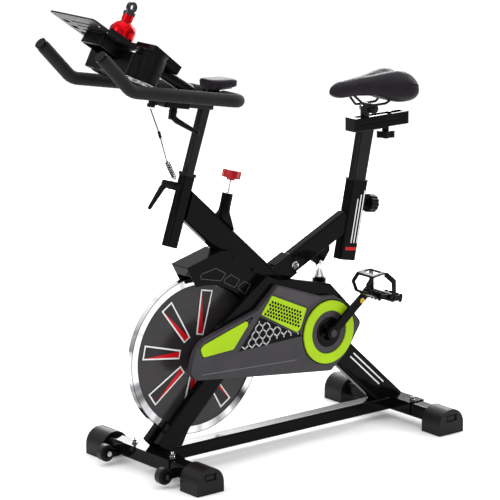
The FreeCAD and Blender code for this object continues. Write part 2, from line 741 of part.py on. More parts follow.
def fender():
    """Wheel guard: two cheeks, a sloping roof and a short raked nose."""
    tip, heel = V(FENDER_TIP[0], 0, FENDER_TIP[1]), V(FENDER_HEEL[0], 0, FENDER_HEEL[1])
    low_x, low_z = on_wheel(FENDER_ARC_R, 95)
    chin = tip.add(V(low_x - tip.x, 0, low_z - tip.z).multiply(0.5))
    inner, outer = FENDER_Y - FENDER_WALL, FENDER_Y
    drop = FENDER_WALL / math.cos(math.atan2(heel.z - tip.z, heel.x - tip.x))
    roof = plate([(tip.x, tip.z), (heel.x, heel.z), (heel.x, heel.z - drop),
                  (tip.x, tip.z - drop)], -outer, outer)
    nose = plate([(tip.x, tip.z), (chin.x, chin.z), (chin.x + drop, chin.z + 1),
                  (tip.x + 1.5 * drop, tip.z)], -outer, outer)
    shell = fused([fender_side(inner, outer), fender_side(-outer, -inner), roof, nose])
    legs = seat(bar(2 * LEG_OUT + 1, LEG_DEPTH + 8, 700), LEG_LOW, unit_between(LEG_LOW, LEG_HIGH))
    return shell.cut(beam_core()).cut(legs)


def fender_screws():
    """Screws with spacer sleeves from the beam's flanks out to both fender cheeks."""
    screws = []
    for x, z in FENDER_SCREWS:
        for side in (-1, 1):
            spacer = y_disc(xz(x, z), 7, BEAM_WIDTH / 2, FENDER_Y - FENDER_WALL)
            head = y_disc(xz(x, z), 6, FENDER_Y, FENDER_Y + 2.5)
            slot = block(x - 4, x + 4, FENDER_Y + 1, FENDER_Y + 3, z - 0.8, z + 0.8)
            head = head.cut(slot)
            for shape in (spacer, head):
                screws.append(shape if side > 0 else mirrored(shape))
    return screws


def strut_socket():
    """Black tube and stacked rings from the beam up to the chrome neck."""
    column = rod(V(STRUT_X, 0, 330), V(STRUT_X, 0, 447), 13)
    shapes = [column]
    for z in (447, 454, 461):
        shapes.append(rod(V(STRUT_X, 0, z), V(STRUT_X, 0, z + 5), 20))
        shapes.append(rod(V(STRUT_X, 0, z + 5), V(STRUT_X, 0, z + 7), 14))
    return fused(shapes).cut(beam_core())


def strut_neck():
    """Chrome neck that tapers from the rings to a fork around the lug."""
    cone = Part.makeCone(14, 7.5, 20, V(STRUT_X, 0, 468))
    neck = rod(V(STRUT_X, 0, 488), V(STRUT_X, 0, 494), 7.5)
    fork = block(STRUT_X - 9, STRUT_X + 9, -11, 11, 494, STRUT_TOP_Z)
    eye = y_disc(V(STRUT_X, 0, STRUT_TOP_Z), 9, -11, 11)
    slot = block(STRUT_X - 20, STRUT_X + 20, -4.2, 4.2, 497, 530)
    shape = fused([cone, neck, fork, eye]).cut(slot)
    return shape.cut(y_disc(V(STRUT_X, 0, STRUT_TOP_Z), 3.05, -20, 20))


def strut_pin():
    centre = V(STRUT_X, 0, STRUT_TOP_Z)
    body = y_disc(centre, 3, -11.5, 11.5)
    near = y_disc(centre, 6, -15.5, -11.5)
    far = y_disc(centre, 6, 11.5, 15.5)
    return fused([body, near, far])


def strut_lug():
    """Triangular lug under the rear stay."""
    points = [(236, 520), (306, 553), (306, 538), (STRUT_X + 10, STRUT_TOP_Z - 4),
              (STRUT_X, STRUT_TOP_Z - 10), (STRUT_X - 10, STRUT_TOP_Z - 4)]
    lug = plate(points, -4, 4)
    direction = unit_between(STAY_LOW, STAY_HIGH)
    stay = seat(bar(60, STAY_DEPTH - 2, 500), STAY_LOW, direction)
    return lug.cut(stay).cut(y_disc(V(STRUT_X, 0, STRUT_TOP_Z), 3.05, -20, 20))


# ---------------------------------------------------------------- flywheel and brake

def flywheel_disc():
    """Cast disc with a raised hub on both faces."""
    disc = y_disc(WHEEL, WHEEL_R - 6, -WHEEL_HALF + 1.5, WHEEL_HALF - 1.5)
    hub = y_disc(WHEEL, 38, -WHEEL_HALF - 1.5, WHEEL_HALF + 1.5)
    return fused([disc, hub]).cut(y_disc(WHEEL, WHEEL_AXLE_R, -30, 30))


def flywheel_rim():
    """Chromed rim band with a flat ring on both faces."""
    band = y_ring(WHEEL, WHEEL_R, WHEEL_R - 6, -WHEEL_HALF, WHEEL_HALF)
    rings = []
    for side in (-1, 1):
        y0, y1 = sorted((side * (WHEEL_HALF - 1.5), side * WHEEL_HALF))
        rings.append(y_ring(WHEEL, WHEEL_R - 5, WHEEL_R - RING_WIDTH, y0, y1))
    return fused([band] + rings)


def flywheel_axle():
    """Turning axle with the lock nuts outside both bearings."""
    axle = y_disc(WHEEL, WHEEL_AXLE_R, -66, 44)
    near_nut = y_disc(WHEEL, 15, -41, -36)
    far_nut = hex_head(WHEEL.add(V(0, 36, 0)), Y_AXIS, 15, 8)
    return fused([axle, near_nut, far_nut])


def pulley(centre, radius, bore):
    """Flanged belt pulley with four lightening holes when it is large."""
    body = y_ring(centre, radius, bore, -BELT_OUT - 0.5, -BELT_IN + 0.5)
    if radius > 50:
        for quarter in range(4):
            angle = math.radians(45 + 90 * quarter)
            spot = V(centre.x + 52 * math.cos(angle), 0, centre.z + 52 * math.sin(angle))
            body = body.cut(y_disc(spot, 20, -80, -40))
    return body


def brake_rod():
    shaft = brake_axis_rod(BRAKE_ROD_R, PAD_REST_R + 20, 498)
    direction = brake_direction()
    collar = rod(step(WHEEL, direction, 470), step(WHEEL, direction, 474), 6)
    return fused([shaft, collar])


def brake_knob():
    direction = brake_direction()
    base = step(WHEEL, direction, 498)
    hub = rod(base, step(base, direction, 8), 12)
    head = lobed_knob(step(base, direction, 6), direction, 27, 22, 6)
    return fused([hub, head])


def brake_pad():
    """Felt-faced block whose underside follows the rim."""
    direction = brake_direction()
    holder = seat(bar(17, 46, 20, 2), step(WHEEL, direction, PAD_REST_R - 0.5), direction)
    holder = holder.cut(y_disc(WHEEL, PAD_REST_R, -30, 30))
    return holder.common(y_disc(WHEEL, PAD_REST_R + 19.5, -30, 30))


# ---------------------------------------------------------------- cranks and pedals

def crank_tip(side):
    """Pedal axis of the near (-1) or far (+1) crank arm."""
    angle = math.radians(CRANK_ANGLE)
    reach = -side * CRANK_LENGTH
    return V(CRANK.x + reach * math.cos(angle), 0, CRANK.z + reach * math.sin(angle))


def crank_axle():
    axle = y_disc(CRANK, CRANK_AXLE_R, -CRANK_OUT + 3, CRANK_OUT - 3)
    collar = y_disc(CRANK, 14, -50, -41)
    return fused([axle, collar])


def crank_arm(side):
    tip = crank_tip(side)
    direction = unit_between(CRANK, tip)
    normal = across(direction)
    corners = []
    for base, run, half in ((CRANK, 0, 13), (tip, 0, 10), (tip, 0, -10), (CRANK, 0, -13)):
        corner = step(step(base, direction, run), normal, half)
        corners.append((corner.x, corner.z))
    web = plate(corners, CRANK_IN + 1, CRANK_OUT - 1)
    boss = y_disc(CRANK, 19, CRANK_IN - 3, CRANK_OUT)
    eye = y_disc(tip, 13, CRANK_IN, CRANK_OUT)
    arm = fused([web, boss, eye])
    arm = arm.cut(y_disc(CRANK, CRANK_AXLE_R, 0, 200)).cut(y_disc(tip, 6, 0, 200))
    return arm if side > 0 else mirrored(arm)


def crank_cap(side):
    cap = y_disc(CRANK, 11, CRANK_OUT, CRANK_OUT + 2.5)
    cap = fused([cap, y_disc(CRANK, 7, CRANK_OUT - 3, CRANK_OUT)])
    return cap if side > 0 else mirrored(cap)


def pedal_spindle(side):
    tip = crank_tip(side)
    thread = y_disc(tip, 6, CRANK_IN + 1, CRANK_OUT)
    collar = y_disc(tip, 8, CRANK_OUT, CRANK_OUT + 4)
    shaft = y_disc(tip, 5, CRANK_OUT + 4, 200)
    spindle = fused([thread, collar, shaft])
    return spindle if side > 0 else mirrored(spindle)


def pedal_frame():
    """Right-hand pedal body about its own spindle axis, toe towards -X."""
    barrel = y_ring(V(0, 0, 0), 12, 5 + FIT, PEDAL_IN_Y, PEDAL_OUT_Y)
    shapes = [barrel]
    for sign in (-1, 1):
        x0, x1 = sorted((sign * (PEDAL_HALF_X - 6), sign * PEDAL_HALF_X))
        shapes.append(block(x0, x1, PEDAL_IN_Y + 8, PEDAL_OUT_Y - 8, -8, 8))
        for tooth in range(5):
            y = PEDAL_IN_Y + 15 + 15.5 * tooth
            shapes.append(block(x0, x1, y, y + 7, -12, 12))
    for y in (PEDAL_IN_Y + 8, PEDAL_OUT_Y - 15):
        arm = block(-PEDAL_HALF_X, PEDAL_HALF_X, y, y + 7, -7, 7)
        shapes.append(arm.cut(y_disc(V(0, 0, 0), 5 + FIT, 0, 300)))
    return fused(shapes).cut(y_disc(V(0, 0, 0), 5 + FIT, 0, 300))


def toe_cage_shape():
    """Toe clip: an arch from the pedal's front up over the toe, and a strap down both sides."""
    path = [(-PEDAL_HALF_X, -6), (-PEDAL_HALF_X - 30, 4), (-PEDAL_HALF_X - 48, 30),
            (-PEDAL_HALF_X - 34, 54), (-PEDAL_HALF_X, 66), (-24, 66)]
    centres = [V(x, 0, z) for x, z in path]
    pieces = []
    for a, b in zip(centres, centres[1:]):
        direction = unit_between(a, b)
        strip = bar(74, CAGE_THICK, a.distanceToPoint(b) + 2, 0)
        pieces.append(seat(strip, step(a, direction, -1), direction))
    cage = fused(pieces)
    for x0, x1, z0, z1 in ((-PEDAL_HALF_X - 60, -PEDAL_HALF_X - 12, 8, 50),
                           (-PEDAL_HALF_X - 22, -PEDAL_HALF_X + 6, 50, 90)):
        cage = cage.cut(block(x0, x1, -26, 26, z0, z1))
    cage = cage.cut(block(-PEDAL_HALF_X - 0.1, 60, -60, 60, -20, 20))
    cage = fused([cage, strap_side(-1), strap_side(1)])
    cage.translate(V(0, PEDAL_MID_Y, 0))
    return cage


def strap_side(side):
    """One side of the strap, from the arch's rear edge down to the pedal's end face."""
    end_y = side * (PEDAL_OUT_Y - PEDAL_MID_Y + STRAP_THICK / 2)
    points = [V(-32, side * 32, 65), V(-10, end_y, 48), V(0, end_y, STRAP_LOW_Z)]
    pieces = []
    for a, b in zip(points, points[1:]):
        direction = unit_between(a, b)
        pieces.append(seat(bar(STRAP_THICK, 15, a.distanceToPoint(b)), a, direction))
    pieces.append(Part.makeCylinder(7.5, STRAP_THICK, points[1].add(V(0, -STRAP_THICK / 2, 0)), Y_AXIS))
    return fused(pieces)


def place_pedal(shape, side, pitch):
    placed = shape.copy()
    placed.rotate(V(0, 0, 0), Y_AXIS, pitch)
    placed.translate(V(crank_tip(side).x, 0, crank_tip(side).z))
    return placed if side > 0 else mirrored(placed)


# ---------------------------------------------------------------- post clamps


def lever_direction():
    """Out of the front post's front face."""
    return across(along(FRONT_TILT)).multiply(-1)


def lever_rod(near, far, radius):
    direction = lever_direction()
    origin = on_post(FRONT_POST, FRONT_TILT, LEVER_Z)
    return rod(step(origin, direction, near), step(origin, direction, far), radius)


def lever_boss():
    """Threaded boss with a flared weld foot on the front post."""
    direction = lever_direction()
    origin = on_post(FRONT_POST, FRONT_TILT, LEVER_Z)
    face = FRONT_DEPTH / 2
    boss = lever_rod(face, face + 24, 12)
    foot = seat(Part.makeCone(15, 12, 8), step(origin, direction, face), direction)
    return fused([boss, foot])


def ratchet_lever(base, direction, arm_direction, arm_length):
    """Hub, screw and slanting arm of an adjustable clamping lever."""
    hub = rod(base, step(base, direction, 26), 11)
    ring = rod(step(base, direction, 2), step(base, direction, 6), 12)
    start = step(base, direction, 18)
    knee = step(step(start, direction, 10), arm_direction, 14)
    tip = step(step(start, direction, 0.42 * arm_length), arm_direction, 0.9 * arm_length)
    lower = rod(start, knee, 8.5)
    arm = Part.makeCone(8.5, 5.5, knee.distanceToPoint(tip), knee, tip.sub(knee))
    joint = Part.makeSphere(8.5, knee)
    end = Part.makeSphere(5.5, tip)
    return fused([hub, ring, lower, joint, arm, end])


def post_lever():
    """Lever arm with its clamping screw and bright collar as a second solid."""
    direction = lever_direction()
    base = step(on_post(FRONT_POST, FRONT_TILT, LEVER_Z), direction, FRONT_DEPTH / 2 + 28.5)
    down = along(FRONT_TILT).multiply(-1)
    return Part.makeCompound([ratchet_lever(base, direction, down, 82), post_lever_screw()])


def post_lever_screw():
    """Clamping screw with the bright collar under the lever."""
    near = FRONT_DEPTH / 2
    screw = lever_rod(BAR_POST_DEPTH / 2 + 0.5, near + 28.5, LEVER_STUD_R)
    collar = lever_rod(near + 24.3, near + 28.5, 11)
    return fused([screw, collar])


def pin_rod(near, far, radius):
    direction = across(along(SEAT_TILT))
    origin = on_post(SEAT_POST, SEAT_TILT, PIN_Z)
    return rod(step(origin, direction, near), step(origin, direction, far), radius)


def pin_boss():
    """Threaded sleeve welded on the rear of the seat tube."""
    face = SEAT_DEPTH / 2
    return pin_rod(face, face + 16, 11)


def pin_knob():
    """Knurled pull knob with its locking pin."""
    direction = across(along(SEAT_TILT))
    origin = on_post(SEAT_POST, SEAT_TILT, PIN_Z)
    base = step(origin, direction, SEAT_DEPTH / 2 + 16.5)
    neck = rod(base, step(base, direction, 6), 12)
    head = lobed_knob(step(base, direction, 5), direction, 27, 26, 12)
    pin = pin_rod(SEAT_DEPTH / 2 + 1 - PIN_REACH, SEAT_DEPTH / 2 + 20, PIN_R)
    return fused([neck, head, pin])


# ---------------------------------------------------------------- handlebar post

def bar_post():
    """Inner tube of the handlebar post with the square rail welded across its top."""
    low = on_post(FRONT_POST, FRONT_TILT, BAR_POST_LOW_Z)
    high = on_post(FRONT_POST, FRONT_TILT, BAR_POST_TOP_Z)
    post = tube_between(low, high, BAR_POST_WIDTH, BAR_POST_DEPTH, 4)
    post = post.common(below_rail())
    return fused([post, bar_rail()])


def rail_direction():
    angle = math.radians(RAIL_TILT)
    return V(-math.cos(angle), 0, math.sin(angle))


def below_rail():
    """Everything under the middle of the rail's lower wall."""
    direction = rail_direction()
    start = step(step(RAIL_BASE, direction, -400), carriage_down(), 300 + RAIL_SIDE / 2 - WALL / 2)
    return seat(bar(200, 600, 1000), start, direction)


def bar_rail():
    """Square rail on top of the post that the handlebar carriage slides along."""
    direction = rail_direction()
    rail = hollow_bar(RAIL_SIDE, RAIL_SIDE, RAIL_LENGTH, WALL, 3)
    return seat(rail, step(RAIL_BASE, direction, -18), direction)


def rail_cap():
    """Plastic plug in the front end of the rail with the cable clip under it."""
    direction = rail_direction()
    end = step(RAIL_BASE, direction, RAIL_LENGTH - 18)
    lid = seat(bar(RAIL_SIDE + 2, RAIL_SIDE + 2, 6, 3), end, direction)
    plug = seat(bar(RAIL_SIDE - 2 * WALL - 0.2, RAIL_SIDE - 2 * WALL - 0.2, 14, 1),
                step(end, direction, -14), direction)
    return fused([lid, plug, cable_clip()])


def cable_clip():
    """Small block under the rail's front end that the sensor cord leaves."""
    direction = rail_direction()
    centre = step(step(RAIL_BASE, direction, RAIL_LENGTH - 18), carriage_down(), RAIL_SIDE / 2 + 3)
    return seat(bar(18, 10, 14, 2), step(centre, direction, -8 + 9), direction)


# ---------------------------------------------------------------- handlebar

def bar_path(side):
    """Handlebar centre line from the middle of the rear cross bar to one horn tip."""
    y = side * BAR_Y
    return [V(BAR_REAR.x, 0, BAR_REAR.z), V(BAR_REAR.x, y, BAR_REAR.z),
            V(HORN_ELBOW.x, y, HORN_ELBOW.z), V(HORN_TIP.x, y, HORN_TIP.z)]


def bar_sweep(points, radius, bends):
    """Sweep along straight runs with one bend radius per inner point."""
    edges = []
    last = points[0]
    for i, bend in zip(range(1, len(points) - 1), bends):
        here = points[i]
        back, on = unit_between(here, points[i - 1]), unit_between(here, points[i + 1])
        half = back.getAngle(on) / 2
        cut_back = bend / math.tan(half)
        bisector = back.add(on)
        bisector.normalize()
        middle = step(here, bisector, bend / math.sin(half) - bend)
        enter, leave = step(here, back, cut_back), step(here, on, cut_back)
        edges.append(Part.LineSegment(last, enter).toShape())
        edges.append(Part.Arc(enter, middle, leave).toShape())
        last = leave
    edges.append(Part.LineSegment(last, points[-1]).toShape())
    section = Part.Wire([Part.makeCircle(radius, points[0], points[1].sub(points[0]))])
    return Part.Wire(edges).makePipeShell([section], True, False)


def bar_core(radius):
    return fused([bar_sweep(bar_path(side), radius, (BAR_CORNER, BAR_ELBOW)) for side in (-1, 1)])


def handlebar():
    """Bent tube, tongue, centre tube, pad bracket and sliding sleeve as one weldment."""
    core = bar_core(BAR_R)
    tongue = above_rail(TONGUE_LOW, TONGUE_LOW + 5.5, -25, 112, 25)
    shapes = [core, tongue, centre_tube(), arm_pad_bracket(), carriage_sleeve()]
    for side in (-1, 1):
        shapes.append(horn_plug(side))
    return fused(shapes).cut(bar_core(BAR_R - WALL))


def above_rail(low, high, start, end, half_width):
    """Slab parallel to the rail between two heights above its axis."""
    direction = rail_direction()
    up = carriage_down().multiply(-1)
    origin = step(step(RAIL_BASE, direction, start), up, (low + high) / 2)
    return seat(bar(2 * half_width, high - low, end - start), origin, direction)


def foam_grip(side):
    """Foam sleeve from beside the tongue round to the horn tip."""
    path = bar_path(side)
    start = V(path[0].x, side * 30, path[0].z)
    outer = bar_sweep([start] + path[1:], FOAM_R, (BAR_CORNER, BAR_ELBOW))
    return outer.cut(bar_core(BAR_R))


def horn_plug(side):
    tip = V(HORN_TIP.x, side * BAR_Y, HORN_TIP.z)
    direction = unit_between(V(HORN_ELBOW.x, side * BAR_Y, HORN_ELBOW.z), tip)
    return rod(step(tip, direction, -8), tip, BAR_R).fuse(rod(tip, step(tip, direction, 6.74), FOAM_R - 1))


def carriage_sleeve():
    """Sliding sleeve around the rail, with a threaded boss for its lever."""
    direction = rail_direction()
    start = step(RAIL_BASE, direction, CARRIAGE_MID - CARRIAGE_LENGTH / 2)
    wall = (CARRIAGE_SIDE - RAIL_SIDE) / 2 - 2 * FIT
    sleeve = seat(hollow_bar(CARRIAGE_SIDE, CARRIAGE_SIDE, CARRIAGE_LENGTH, wall, 4), start, direction)
    boss = carriage_axis_rod(CARRIAGE_SIDE / 2 - 3, CARRIAGE_SIDE / 2 + 6, 11)
    shape = fused([sleeve, boss])
    return shape.cut(carriage_axis_rod(RAIL_SIDE / 2 - 1, 60, 4 + FIT))


def carriage_down():
    direction = rail_direction()
    return V(-direction.z, 0, direction.x)


def carriage_axis_rod(near, far, radius):
    origin = step(RAIL_BASE, rail_direction(), CARRIAGE_MID)
    down = carriage_down()
    return rod(step(origin, down, near), step(origin, down, far), radius)


def carriage_lever():
    """Clamping lever under the carriage; its arm reaches back past the post."""
    down = carriage_down()
    origin = step(RAIL_BASE, rail_direction(), CARRIAGE_MID)
    base = step(origin, down, CARRIAGE_SIDE / 2 + 6.4)
    arm = V(0.88, -0.47, 0)
    arm = arm.sub(V(down).multiply(arm.dot(down)))
    arm.normalize()
    lever = ratchet_lever(base, down, arm, 84)
    screw = carriage_axis_rod(RAIL_SIDE / 2 + 1.0, CARRIAGE_SIDE / 2 + 6.4, 4)
    return fused([lever, screw])


def centre_tube():
    """Tube that rises from the tongue to the console, open at its top."""
    tube = pipe(TUBE_LOW, TUBE_HIGH, TUBE_R, TUBE_R - WALL)
    return tube.cut(above_rail(-60, TONGUE_LOW + 1, -60, 260, 60))


def arm_pad_bracket():
    """Steel tongue from the cross bar to the underside of the elbow pad."""
    flange = block(PAD_X - 30, PAD_X + 30, -22, 22, PAD_LOW - 3, PAD_LOW - 0.1)
    stem = block(BAR_REAR.x - 3, BAR_REAR.x + 3, -22, 22, BAR_REAR.z + BAR_R - 2, PAD_LOW - 2)
    return fused([flange, stem])


def arm_pad():
    """Rounded elbow pad, thicker at the front."""
    pad = bar(2 * PAD_HALF_Y, 2 * PAD_HALF_X, PAD_THICK, 18)
    pad = seat(pad, V(PAD_X, 0, PAD_LOW), V(0, 0, 1))
    slope = plate([(PAD_X - 60, PAD_LOW - 5), (PAD_X + 60, PAD_LOW - 5), (PAD_X + 60, PAD_LOW + 22),
                   (PAD_X - 60, PAD_LOW + 31)], -60, 60)
    return pad.common(slope)


# ---------------------------------------------------------------- console

def tray_direction():
    return unit_between(TRAY_REAR, TRAY_FRONT)


def tray_normal():
    """Up and to the rear, square to the tray."""
    direction = tray_direction()
    return V(direction.z, 0, -direction.x)


def on_tray(run, lift, y=0.0):
    """Point at a distance up the tray from its rear edge and above its underside."""
    return step(step(TRAY_REAR, tray_direction(), run), tray_normal(), lift, y)


def tray_slab(run0, run1, y0, y1, lift0, lift1, radius=0.0):
    middle = on_tray((run0 + run1) / 2, lift0, (y0 + y1) / 2)
    slab = bar(y1 - y0, run1 - run0, lift1 - lift0, radius)
    return seat(slab, middle, tray_normal())


def tablet_tray():
    """Slotted tray with a raised lip along its foot and both sides."""
    floor = tray_slab(0, TRAY_LENGTH, -TRAY_HALF, TRAY_HALF, 0, 4, 10)
    shapes = [floor]
    shapes.append(tray_slab(0, 7, -TRAY_HALF + 8, TRAY_HALF - 8, 3, 20, 0))
    for side in (-1, 1):
        y0, y1 = sorted((side * TRAY_HALF, side * (TRAY_HALF - 6)))
        shapes.append(tray_slab(10, TRAY_LENGTH * 0.62, y0, y1, 0, 13, 0))
    tray = fused(shapes)
    for side in (-1, 1):
        for run in (54, 88, 122):
            y0, y1 = sorted((side * 62, side * 84))
            tray = tray.cut(tray_slab(run - 8, run + 8, y0, y1, -2, 6))
    for row in range(5):
        run = 40 + 22 * row
        tray = tray.cut(tray_slab(run - 3, run + 3, -44, 44, -2, 6, 2.9))
    return tray


def console_body():
    """Moulded frame that holds the tray, the display and both bottle cups."""
    spine = tray_slab(-56, 74, -46, 46, -30, -0.5, 8)
    shapes = [spine, housing_box(0, -CUP_DEPTH / 2, HOUSING_TOP)]
    for side in (-1, 1):
        shapes.append(cup_rod(side, -12, 30, CUP_R + 2))
    body = fused(shapes)
    body = body.cut(tray_slab(-50, 68, -41, 41, -32, -6, 4))
    body = body.cut(housing_box(3, 4 - CUP_DEPTH / 2, HOUSING_TOP - 4)).cut(housing_slots())
    for side in (-1, 1):
        body = body.cut(cup_rod(side, -60, 60, CUP_R - 1))
    body = fused([body, display_arm()] + [bottle_cup(side) for side in (-1, 1)])
    tube = rod(TUBE_LOW, step(TUBE_HIGH, unit_between(TUBE_LOW, TUBE_HIGH), 20), TUBE_R)
    return body.cut(tube)


def housing_box(inset, low, high):
    """Box around and ahead of both cups, between two heights along their axes."""
    depth = HOUSING_FRONT - 2 * inset
    middle = step(step(CUP_MID, along(CUP_TILT), low), across(along(CUP_TILT)), -HOUSING_FRONT / 2)
    return seat(bar(2 * (HOUSING_HALF - inset), depth, high - low, 8), middle, along(CUP_TILT))


def housing_slots():
    """Rows of openings through the housing's floor."""
    axis, front = along(CUP_TILT), across(along(CUP_TILT)).multiply(-1)
    slots = []
    for row in range(3):
        for column in range(-3, 4):
            centre = step(step(CUP_MID, axis, -CUP_DEPTH / 2 - 2), front, 18 + 16 * row, 25 * column)
            slots.append(seat(bar(17, 9, 8, 2), centre, axis))
    return Part.makeCompound(slots)


def cup_axis_point(side, distance):
    return step(CUP_MID, along(CUP_TILT), distance, side * CUP_Y)


def cup_rod(side, near, far, radius):
    return rod(cup_axis_point(side, near), cup_axis_point(side, far), radius)


def bottle_cup(side):
    half = CUP_DEPTH / 2
    cup = cup_rod(side, -half, half, CUP_R)
    cup = cup.cut(cup_rod(side, -half + 4, half + 1, CUP_BORE_R))
    lip = cup_rod(side, half - 4, half, CUP_R + 2.5).cut(cup_rod(side, half - 9, half + 1, CUP_BORE_R))
    cup = fused([cup, lip])
    axis = along(CUP_TILT)
    for turn in range(6):
        angle = math.radians(60 * turn)
        spot = step(cup_axis_point(side, 0), across(axis), 22 * math.cos(angle), 22 * math.sin(angle))
        cup = cup.cut(rod(step(spot, axis, -half - 2), step(spot, axis, -half + 6), 9))
    return cup


def console_bracket():
    """Pressed steel cradle with four screws, under the console on the centre tube."""
    tube = unit_between(TUBE_LOW, TUBE_HIGH)
    foot = step(TUBE_LOW, tube, 150)
    clamp = pipe(step(foot, tube, -20), step(foot, tube, 20), TUBE_R + 3, TUBE_R)
    shapes = [clamp]
    for side in (-1, 1):
        for run in (-10, 10):
            centre = step(foot, tube, run, side * (TUBE_R + 2))
            head = hex_head(centre, V(0, side, 0), 5, 5)
            shapes.append(head)
    return fused(shapes).cut(console_body())


def display_direction():
    return unit_between(DISPLAY_FOOT, DISPLAY_TOP)


def display_normal():
    direction = display_direction()
    return V(direction.z, 0, -direction.x)


def display_box(run0, run1, half, lift0, lift1, radius):
    middle = step(step(DISPLAY_FOOT, display_direction(), (run0 + run1) / 2), display_normal(), lift0)
    return seat(bar(2 * half, run1 - run0, lift1 - lift0, radius), middle, display_normal())


def display_case():
    case = display_box(0, DISPLAY_LENGTH, 46, -24, 0, 7)
    case = case.cut(display_box(40, DISPLAY_LENGTH - 12, 37, -1.5, 1, 3))
    case = case.cut(rod(TUBE_LOW, TUBE_HIGH, TUBE_R + 3 + GAP))
    return case.cut(display_box(13.6, 26.4, 14.4, -4, 1, 5))


def display_screen():
    return display_box(40.2, DISPLAY_LENGTH - 12.2, 36.8, -1.5, -0.3, 3)


def display_button():
    """The computer's one push button, below its screen."""
    return display_box(14, 26, 14, -2.4, 1.2, 4.6)


def display_arm():
    """Short strut from the console spine to the display case."""
    low = on_tray(-50, -18)
    top = step(step(DISPLAY_FOOT, display_direction(), 70), display_normal(), -29)
    direction = unit_between(low, top)
    strut = seat(bar(40, 10, low.distanceToPoint(top) + 8, 2), step(low, direction, -6), direction)
    return strut.cut(display_box(-5, DISPLAY_LENGTH + 5, 60, -24, 60, 0))


def bottle():
    """Aluminium bottle standing in the far cup."""
    profile = [V(0, 0, 0), V(BOTTLE_R - 4, 0, 0), V(BOTTLE_R, 0, 5), V(BOTTLE_R, 0, BOTTLE_SHOULDER)]
    edges = [Part.LineSegment(a, b).toShape() for a, b in zip(profile, profile[1:])]
    bend = V(BOTTLE_R - 6.5, 0, (BOTTLE_SHOULDER + BOTTLE_NECK_LOW) / 2 + 3)
    shoulder = Part.Arc(profile[-1], bend, V(BOTTLE_NECK_R, 0, BOTTLE_NECK_LOW)).toShape()
    neck = [V(BOTTLE_NECK_R, 0, BOTTLE_NECK_LOW), V(BOTTLE_NECK_R, 0, BOTTLE_NECK_TOP),
            V(0, 0, BOTTLE_NECK_TOP), V(0, 0, 0)]
    edges += [shoulder] + [Part.LineSegment(a, b).toShape() for a, b in zip(neck, neck[1:])]
    body = Part.Face(Part.Wire(edges)).revolve(V(0, 0, 0), V(0, 0, 1), 360)
    return seat(body, bottle_point(0), along(CUP_TILT))


def bottle_point(height):
    """Point on the bottle's axis above its foot, which stands on the cup's floor."""
    return cup_axis_point(1, height - CUP_DEPTH / 2 + 4.4)


def bottle_cap():
    """Screw cap with a flat carrying loop whose eye runs across the bike."""
    axis = along(CUP_TILT)
    eye = bottle_point(BOTTLE_NECK_TOP + 24)
    skirt = rod(bottle_point(BOTTLE_NECK_TOP), bottle_point(BOTTLE_NECK_TOP + 10), 17)
    neck = seat(bar(11, 26, 10, 5), bottle_point(BOTTLE_NECK_TOP + 8), axis)
    loop = y_disc(eye, 15, CUP_Y - 5.5, CUP_Y + 5.5)
    return fused([skirt, neck, loop]).cut(y_disc(eye, 7.5, 0, 140))


# ---------------------------------------------------------------- seat slide and saddle

def seat_post():
    """Inner seat tube with the height holes for the locking pin."""
    low = on_post(SEAT_POST, SEAT_TILT, SEAT_IN_LOW_Z)
    high = on_post(SEAT_POST, SEAT_TILT, CHANNEL_LOW + 20)
    post = tube_between(low, high, SEAT_IN_WIDTH, SEAT_IN_DEPTH, 6)
    post = fused([post.cut(block(300, 700, -60, 60, CHANNEL_LOW - 3, 1100)), seat_head()])
    direction = along(SEAT_TILT)
    for hole in range(-2, 4):
        centre = step(on_post(SEAT_POST, SEAT_TILT, PIN_Z), direction, 25 * hole)
        side = across(direction)
        bore = rod(step(centre, side, 10), step(centre, side, 60), PIN_R + 0.3)
        post = post.cut(bore)
    return post


def seat_head():
    """Bright plate welded on top of the inner seat tube, under the channel."""
    return block(CHANNEL_FRONT + 6, SEAT_KNOB_X - 12, -CHANNEL_WIDTH / 2 + 2, CHANNEL_WIDTH / 2 - 2,
                 CHANNEL_LOW - 3, CHANNEL_LOW)


def seat_channel():
    """Slotted box channel with a groove down both flanks."""
    half = CHANNEL_WIDTH / 2
    outer = block(CHANNEL_FRONT, CHANNEL_REAR, -half, half, CHANNEL_LOW, CHANNEL_TOP)
    inner = block(CHANNEL_FRONT - 1, CHANNEL_REAR + 1, -half + CHANNEL_WALL, half - CHANNEL_WALL,
                  CHANNEL_LOW + CHANNEL_WALL, CHANNEL_TOP - CHANNEL_WALL)
    slot = block(CHANNEL_FRONT + 14, CHANNEL_REAR - 6, -STUB_R - 1, STUB_R + 1,
                 CHANNEL_TOP - 5, CHANNEL_TOP + 1)
    channel = outer.cut(inner).cut(slot)
    for side in (-1, 1):
        y0, y1 = sorted((side * half, side * (half - 1.2)))
        channel = channel.cut(block(CHANNEL_FRONT + 16, CHANNEL_REAR - 30, y0, y1, 893, 897))
    return channel.cut(rod(V(SEAT_KNOB_X, 0, 860), V(SEAT_KNOB_X, 0, 890), 5 + FIT))


def channel_plug(x0, x1, wide):
    """Moulded end plug of the channel."""
    half = CHANNEL_WIDTH / 2
    face = block(x0, x1, -half - wide, half + wide, CHANNEL_LOW - wide, CHANNEL_TOP + wide)
    return face.makeFillet(1.5, face.Edges)


